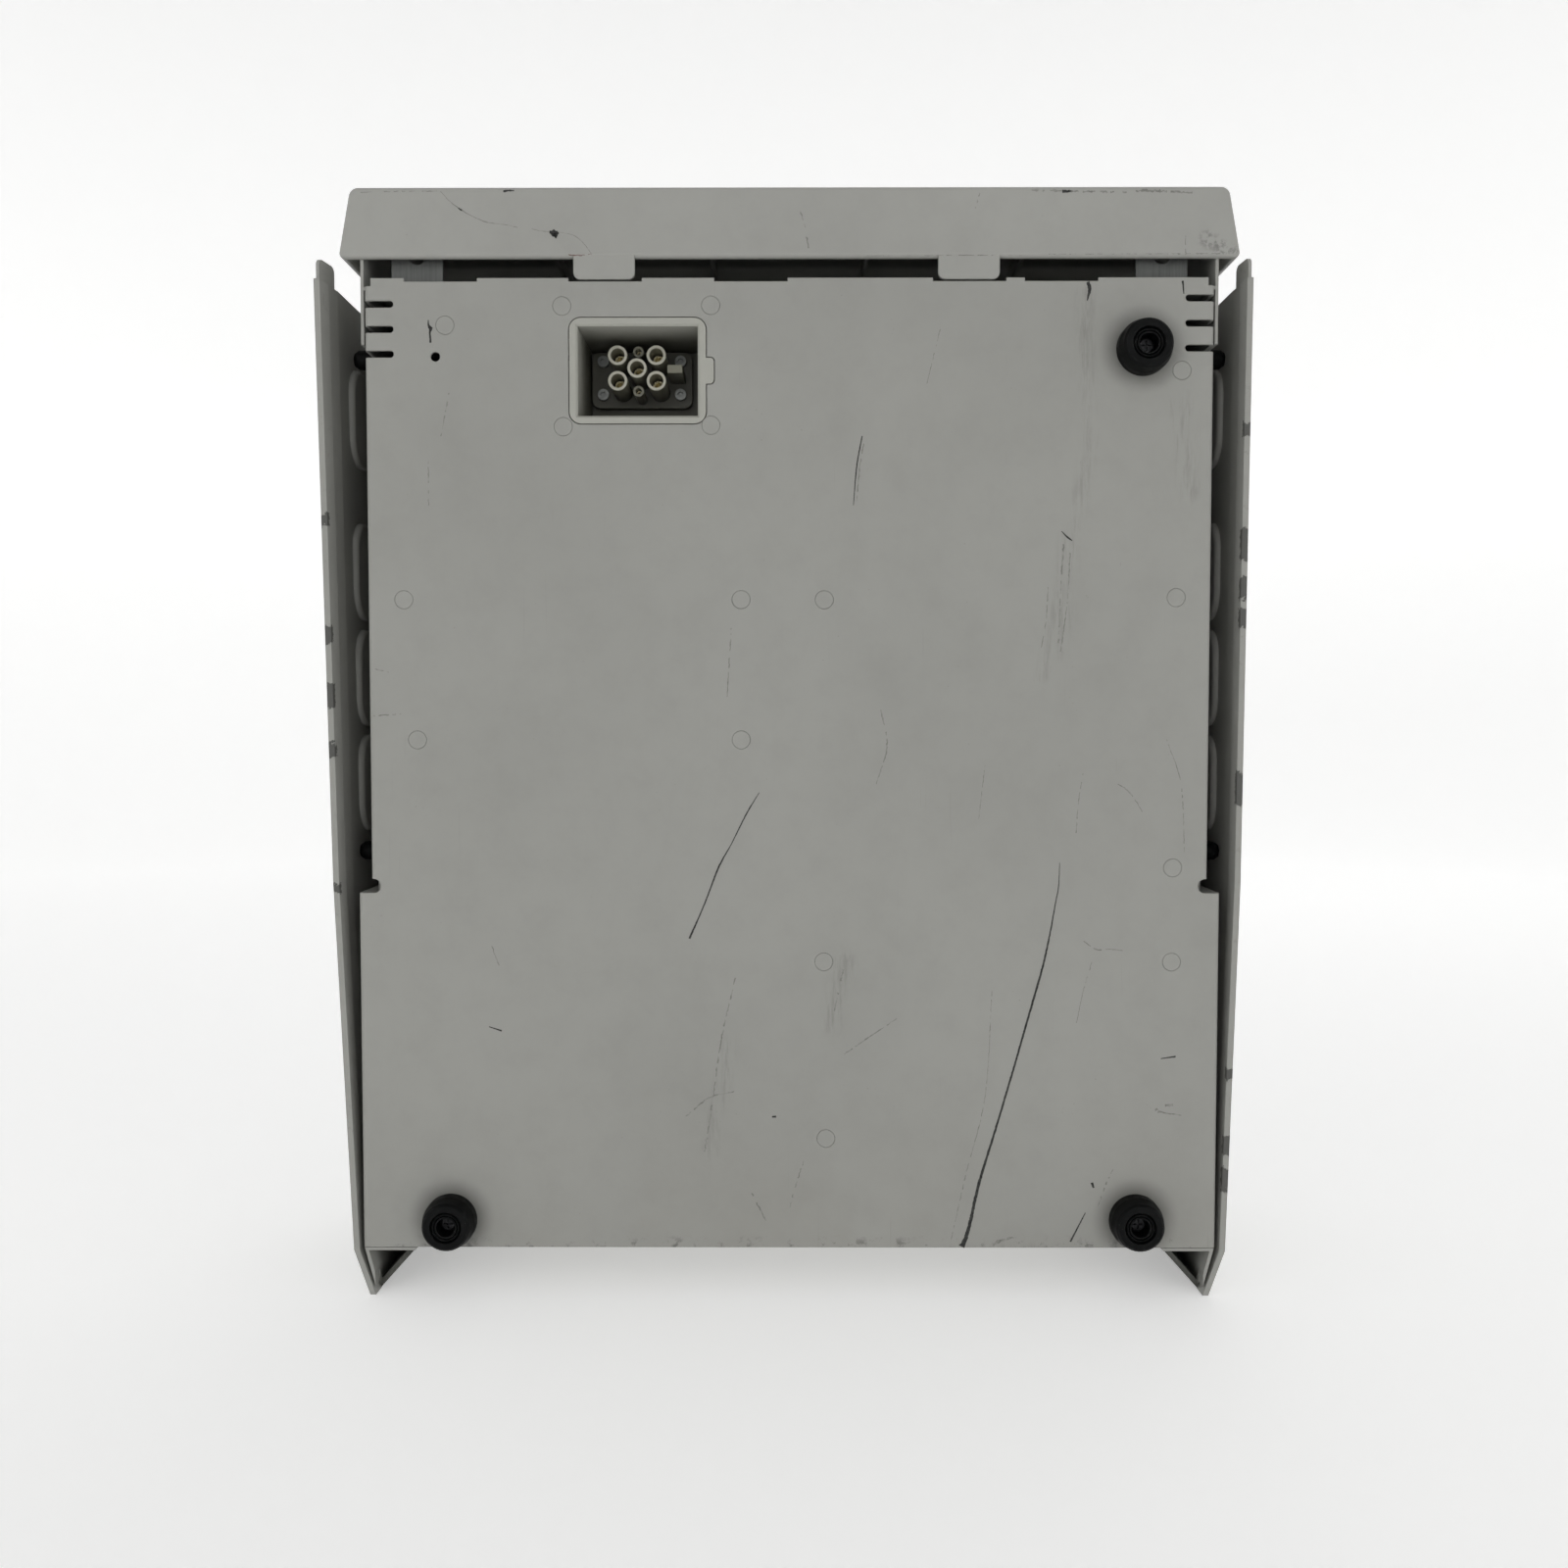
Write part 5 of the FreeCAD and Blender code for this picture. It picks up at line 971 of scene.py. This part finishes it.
def screw_head(mesh, base, axis, radius, rise):
    """A domed pan head with a sunk round drive."""
    profile = [(1, 0), (1, 0.35), (0.93, 0.68), (0.72, 0.92), (0.46, 1), (0.40, 0.92),
               (0.34, 0.3), (0, 0.22)]
    add_turned(mesh, base, axis, [(out * radius, up * rise) for out, up in profile], 24)


def plate_screws(shared):
    """Screws down both sides of the operator plate."""
    low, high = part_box("operator_plate")
    inset = 9 * MM
    mesh = bmesh.new()
    for side in (-1, 1):
        for share in (0.06, 0.5, 0.94):
            base = (side * (high.x - inset), low.y, low.z + share * (high.z - low.z))
            screw_head(mesh, base, FORWARD, 3.4 * MM, 1.7 * MM)
    finish_piece(mesh, "plate_screws", "chassis", "bright_steel", shared["screw"], True)


# The two rear boards, in millimetres. Chips are x, z, width and height. Fields are the left,
# right, low and high limits of the small parts. Islands, x, z, half width and half height, and
# studs are places that the small parts keep off. Terminals are x, z and the number of ways.
CHIPS = ((-120, 290, 28, 28), (-70, 300, 18, 12), (-150, 250, 14, 10), (70, 312, 20, 20),
         (120, 312, 14, 10))
FIELDS = ((-182, -14, 158, 332), (20, 182, 262, 332))
ISLANDS = ((-120, 290, 18, 18), (-70, 300, 12, 9), (-150, 250, 10, 8), (70, 312, 13, 13),
           (120, 312, 10, 8), (-128, 200, 52, 12), (-40, 224, 26, 18), (-45, 320, 22, 10),
           (-100, 166, 76, 10), (85, 271, 46, 10), (150, 300, 11, 11), (30, 300, 11, 11))
STUDS = ((22.4, 330.3), (174.4, 264.8), (180.1, 330.3), (-16.5, 330.2), (-180.7, 331.2),
         (-180.5, 204.6), (-16.5, 160), (-180.5, 160), (22.4, 264.8))
TERMINALS = ((-152, 166, 8), (-100, 166, 8), (-48, 166, 8), (60, 271, 6), (110, 271, 6))
TALL_CAPACITORS = ((-40, 215), (-24, 232), (-56, 232))


def board_face():
    """Y of the front face of the rear boards."""
    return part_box("main_board")[0].y


def board_box(mesh, left, right, low, high, rise, gap):
    """A box in front of the rear boards, from the gap to the rise, all in millimetres."""
    face = board_face()
    add_box(mesh, (left * MM, face - rise * MM, low * MM), (right * MM, face - gap * MM, high * MM))


def chip_legs(shared):
    """A row of legs along the top and the bottom of each flat chip."""
    pitch, half, start, reach = 1.27, 0.22, 0.05, 1.5
    mesh = bmesh.new()
    for x, z, wide, tall in CHIPS:
        count = int(wide / pitch) - 1
        for side in (-1, 1):
            edge = z + side * tall / 2
            low, high = sorted((edge + side * start, edge + side * reach))
            for i in range(count):
                middle = x + (i - (count - 1) / 2) * pitch
                board_box(mesh, middle - half, middle + half, low, high, 0.9, 0.06)
    finish_piece(mesh, "chip_legs", "chassis", "contact_metal", shared["chrome"])


def spot_clear(x, z):
    """Whether a small part fits here, off the islands and the studs."""
    margin, stud_reach = 2, 7
    off_islands = all(abs(x - a) > wide + margin or abs(z - b) > tall + margin
                      for a, b, wide, tall in ISLANDS)
    return off_islands and all(math.hypot(x - a, z - b) > stud_reach for a, b in STUDS)


def small_parts(shared):
    """Rows of resistors and small capacitors with their solder ends."""
    column_step, row_step, end, gap = 6.8, 6.2, 0.35, 0.03
    chance = random.Random(11)
    resistors, capacitors, ends = bmesh.new(), bmesh.new(), bmesh.new()
    for left, right, low, high in FIELDS:
        x = left
        while x < right:
            z = low
            while z < high:
                kind = chance.random()
                if kind < 0.72 and spot_clear(x, z):
                    wide, tall, rise = (3.2, 1.6, 0.6) if kind < 0.5 else (1.6, 3.2, 1.0)
                    part = resistors if kind < 0.38 else capacitors
                    bottom, top = z - tall / 2, z + tall / 2
                    board_box(part, x - wide / 2 + end, x + wide / 2 - end, bottom, top, rise, gap)
                    for side in (-1, 1):
                        near, far = sorted((x + side * (wide / 2 - end), x + side * wide / 2))
                        board_box(ends, near, far, bottom, top, rise, gap)
                z += row_step
            x += column_step
    finish_piece(resistors, "board_resistors", "chassis", "black_plastic", shared["chip"])
    finish_piece(capacitors, "board_small_capacitors", "chassis", "black_plastic",
                 plastic("CeramicTan", (0.30, 0.19, 0.10), 0.4, dust=0.0))
    finish_piece(ends, "board_solder_ends", "chassis", "contact_metal", shared["chrome"])


def turned_mm(mesh, base, profile, around):
    """A solid turned about a forward axis from (radius, height) points in millimetres."""
    add_turned(mesh, base, FORWARD, [(out * MM, up * MM) for out, up in profile], around)


def capacitor_tops(shared):
    """Aluminium tops on the three tall capacitors."""
    top = board_face() - 20.07 * MM
    mesh = bmesh.new()
    for x, z in TALL_CAPACITORS:
        turned_mm(mesh, (x * MM, top, z * MM),
                  [(5.8, 0), (5.8, 0.3), (5.4, 0.7), (5.0, 0.4), (0, 0.4)], 32)
    finish_piece(mesh, "capacitor_tops", "chassis", "contact_metal", shared["chrome"], True)


def terminal_screws(shared):
    """Screws with a sunk centre in the board terminals and the power supply's strip."""
    pitch, head_depth, head_above = 5.08, 11.1 * MM, 1.4
    mesh = bmesh.new()
    for x, z, ways in TERMINALS:
        for way in range(ways):
            middle = x - ways * pitch / 2 + pitch * (way + 0.5)
            base = (middle * MM, board_face() - head_depth, (z + head_above) * MM)
            turned_mm(mesh, base, [(1.58, 0), (1.58, 0.9), (1.2, 1.2), (0.3, 1.2), (0.3, 0.8),
                                   (0, 0.8)], 16)
    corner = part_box("power_supply_case")[0]
    supply_pitch, first = 12, Vector((16, 10.8, 7))
    for way in range(11):
        base = corner + (first + Vector((supply_pitch * way, 0, 0))) * MM
        turned_mm(mesh, base, [(2.8, 0), (2.8, 1.2), (2.2, 1.7), (0.5, 1.7), (0.5, 0.9), (0, 0.9)],
                  20)
    finish_piece(mesh, "terminal_screws", "chassis", "bright_steel", shared["screw"], True)


def battery_ribs(shared):
    """Two rows of raised ribs across each battery's front."""
    first, pitch, half, proud, sunk = 19 * MM, 14.2 * MM, 1.1 * MM, 0.2 * MM, 0.4 * MM
    mesh = bmesh.new()
    for label in ("battery_left", "battery_right"):
        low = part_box(label)[0]
        for i in range(9):
            x = low.x + first + i * pitch
            for bottom, top in ((5, 20), (74, 88)):
                add_box(mesh, (x - half, low.y - proud, low.z + bottom * MM),
                        (x + half, low.y + sunk, low.z + top * MM), 0.1 * MM)
    finish_piece(mesh, "battery_ribs", "chassis", "black_plastic",
                 plastic("BatteryRib", (0.040, 0.045, 0.052), 0.42))


def supply_screws(shared):
    """Screws at the power supply's front corners."""
    low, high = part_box("power_supply_case")
    mesh = bmesh.new()
    for x in (low.x + 5 * MM, high.x - 5 * MM):
        for z in (low.z + 24 * MM, high.z - 6 * MM):
            screw_head(mesh, (x, low.y, z), FORWARD, 2.6 * MM, 1.3 * MM)
    finish_piece(mesh, "supply_screws", "chassis", "bright_steel", shared["screw"], True)


def window_clips(shared):
    """Clips, each with its screw, that hold the window and its gasket inside the door."""
    low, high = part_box("door_window")
    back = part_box("window_gasket")[1].y
    half, thick = 7 * MM, 1 * MM
    mesh = bmesh.new()
    for x in (-0.13, 0, 0.13):
        for z, way in ((low.z, -1), (high.z, 1)):
            foot, tip = sorted((z + way * 4.5 * MM, z - way * 4 * MM))
            add_box(mesh, (x - half, back, foot), (x + half, back + thick, tip), 0.3 * MM)
            screw_head(mesh, (x, back + thick, z + way * MM), BACKWARD, 2.4 * MM, 1.2 * MM)
    finish_piece(mesh, "window_clips", "door", "bright_steel", shared["screw"])


def foot_rings(shared):
    """A moulded ring in each rubber foot's hollow."""
    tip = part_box("rubber_feet")[1].y
    section = ((5.7, -2.0), (6.6, -2.0), (6.6, -0.7), (6.15, -0.3), (5.7, -0.7))
    mesh = bmesh.new()
    for x, z in FEET:
        loops = []
        for radius, height in section:
            loops.append([mesh.verts.new(((x + a) * MM, tip + height * MM, (z + b) * MM))
                          for a, b in circle(radius, 40)])
        for low, high in zip(loops, loops[1:] + loops[:1]):
            join_rings(mesh, low, high)
    finish_piece(mesh, "foot_rings", "chassis", "black_rubber", shared["rubber"], True)


def torn_rubber(shared):
    """A small torn tongue of rubber at the rim of the second foot."""
    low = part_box("back_chassis")[1].y + 0.6 * MM
    thick = 1.4 * MM
    x, z = FEET[1][0] + 7.2, FEET[1][1] - 9.5
    tear = ((-3.0, 1.2), (-1.0, 2.4), (1.4, 0.6), (2.0, -1.6), (0.2, -2.8), (-2.2, -2.0))
    mesh = bmesh.new()
    add_prism(mesh, [((x + a) * MM, (z + b) * MM) for a, b in tear], low, low + thick)
    finish_piece(mesh, "foot_torn_rim", "chassis", "black_rubber", shared["rubber"])


def add_pieces(shared):
    wear_marks()
    for add in (button_legends, plate_screws, chip_legs, small_parts, capacitor_tops,
                terminal_screws, battery_ribs, supply_screws, window_clips, foot_rings,
                torn_rubber):
        add(shared)


make_camera()
make_lights()
make_stage()
add_pieces(dress_all())
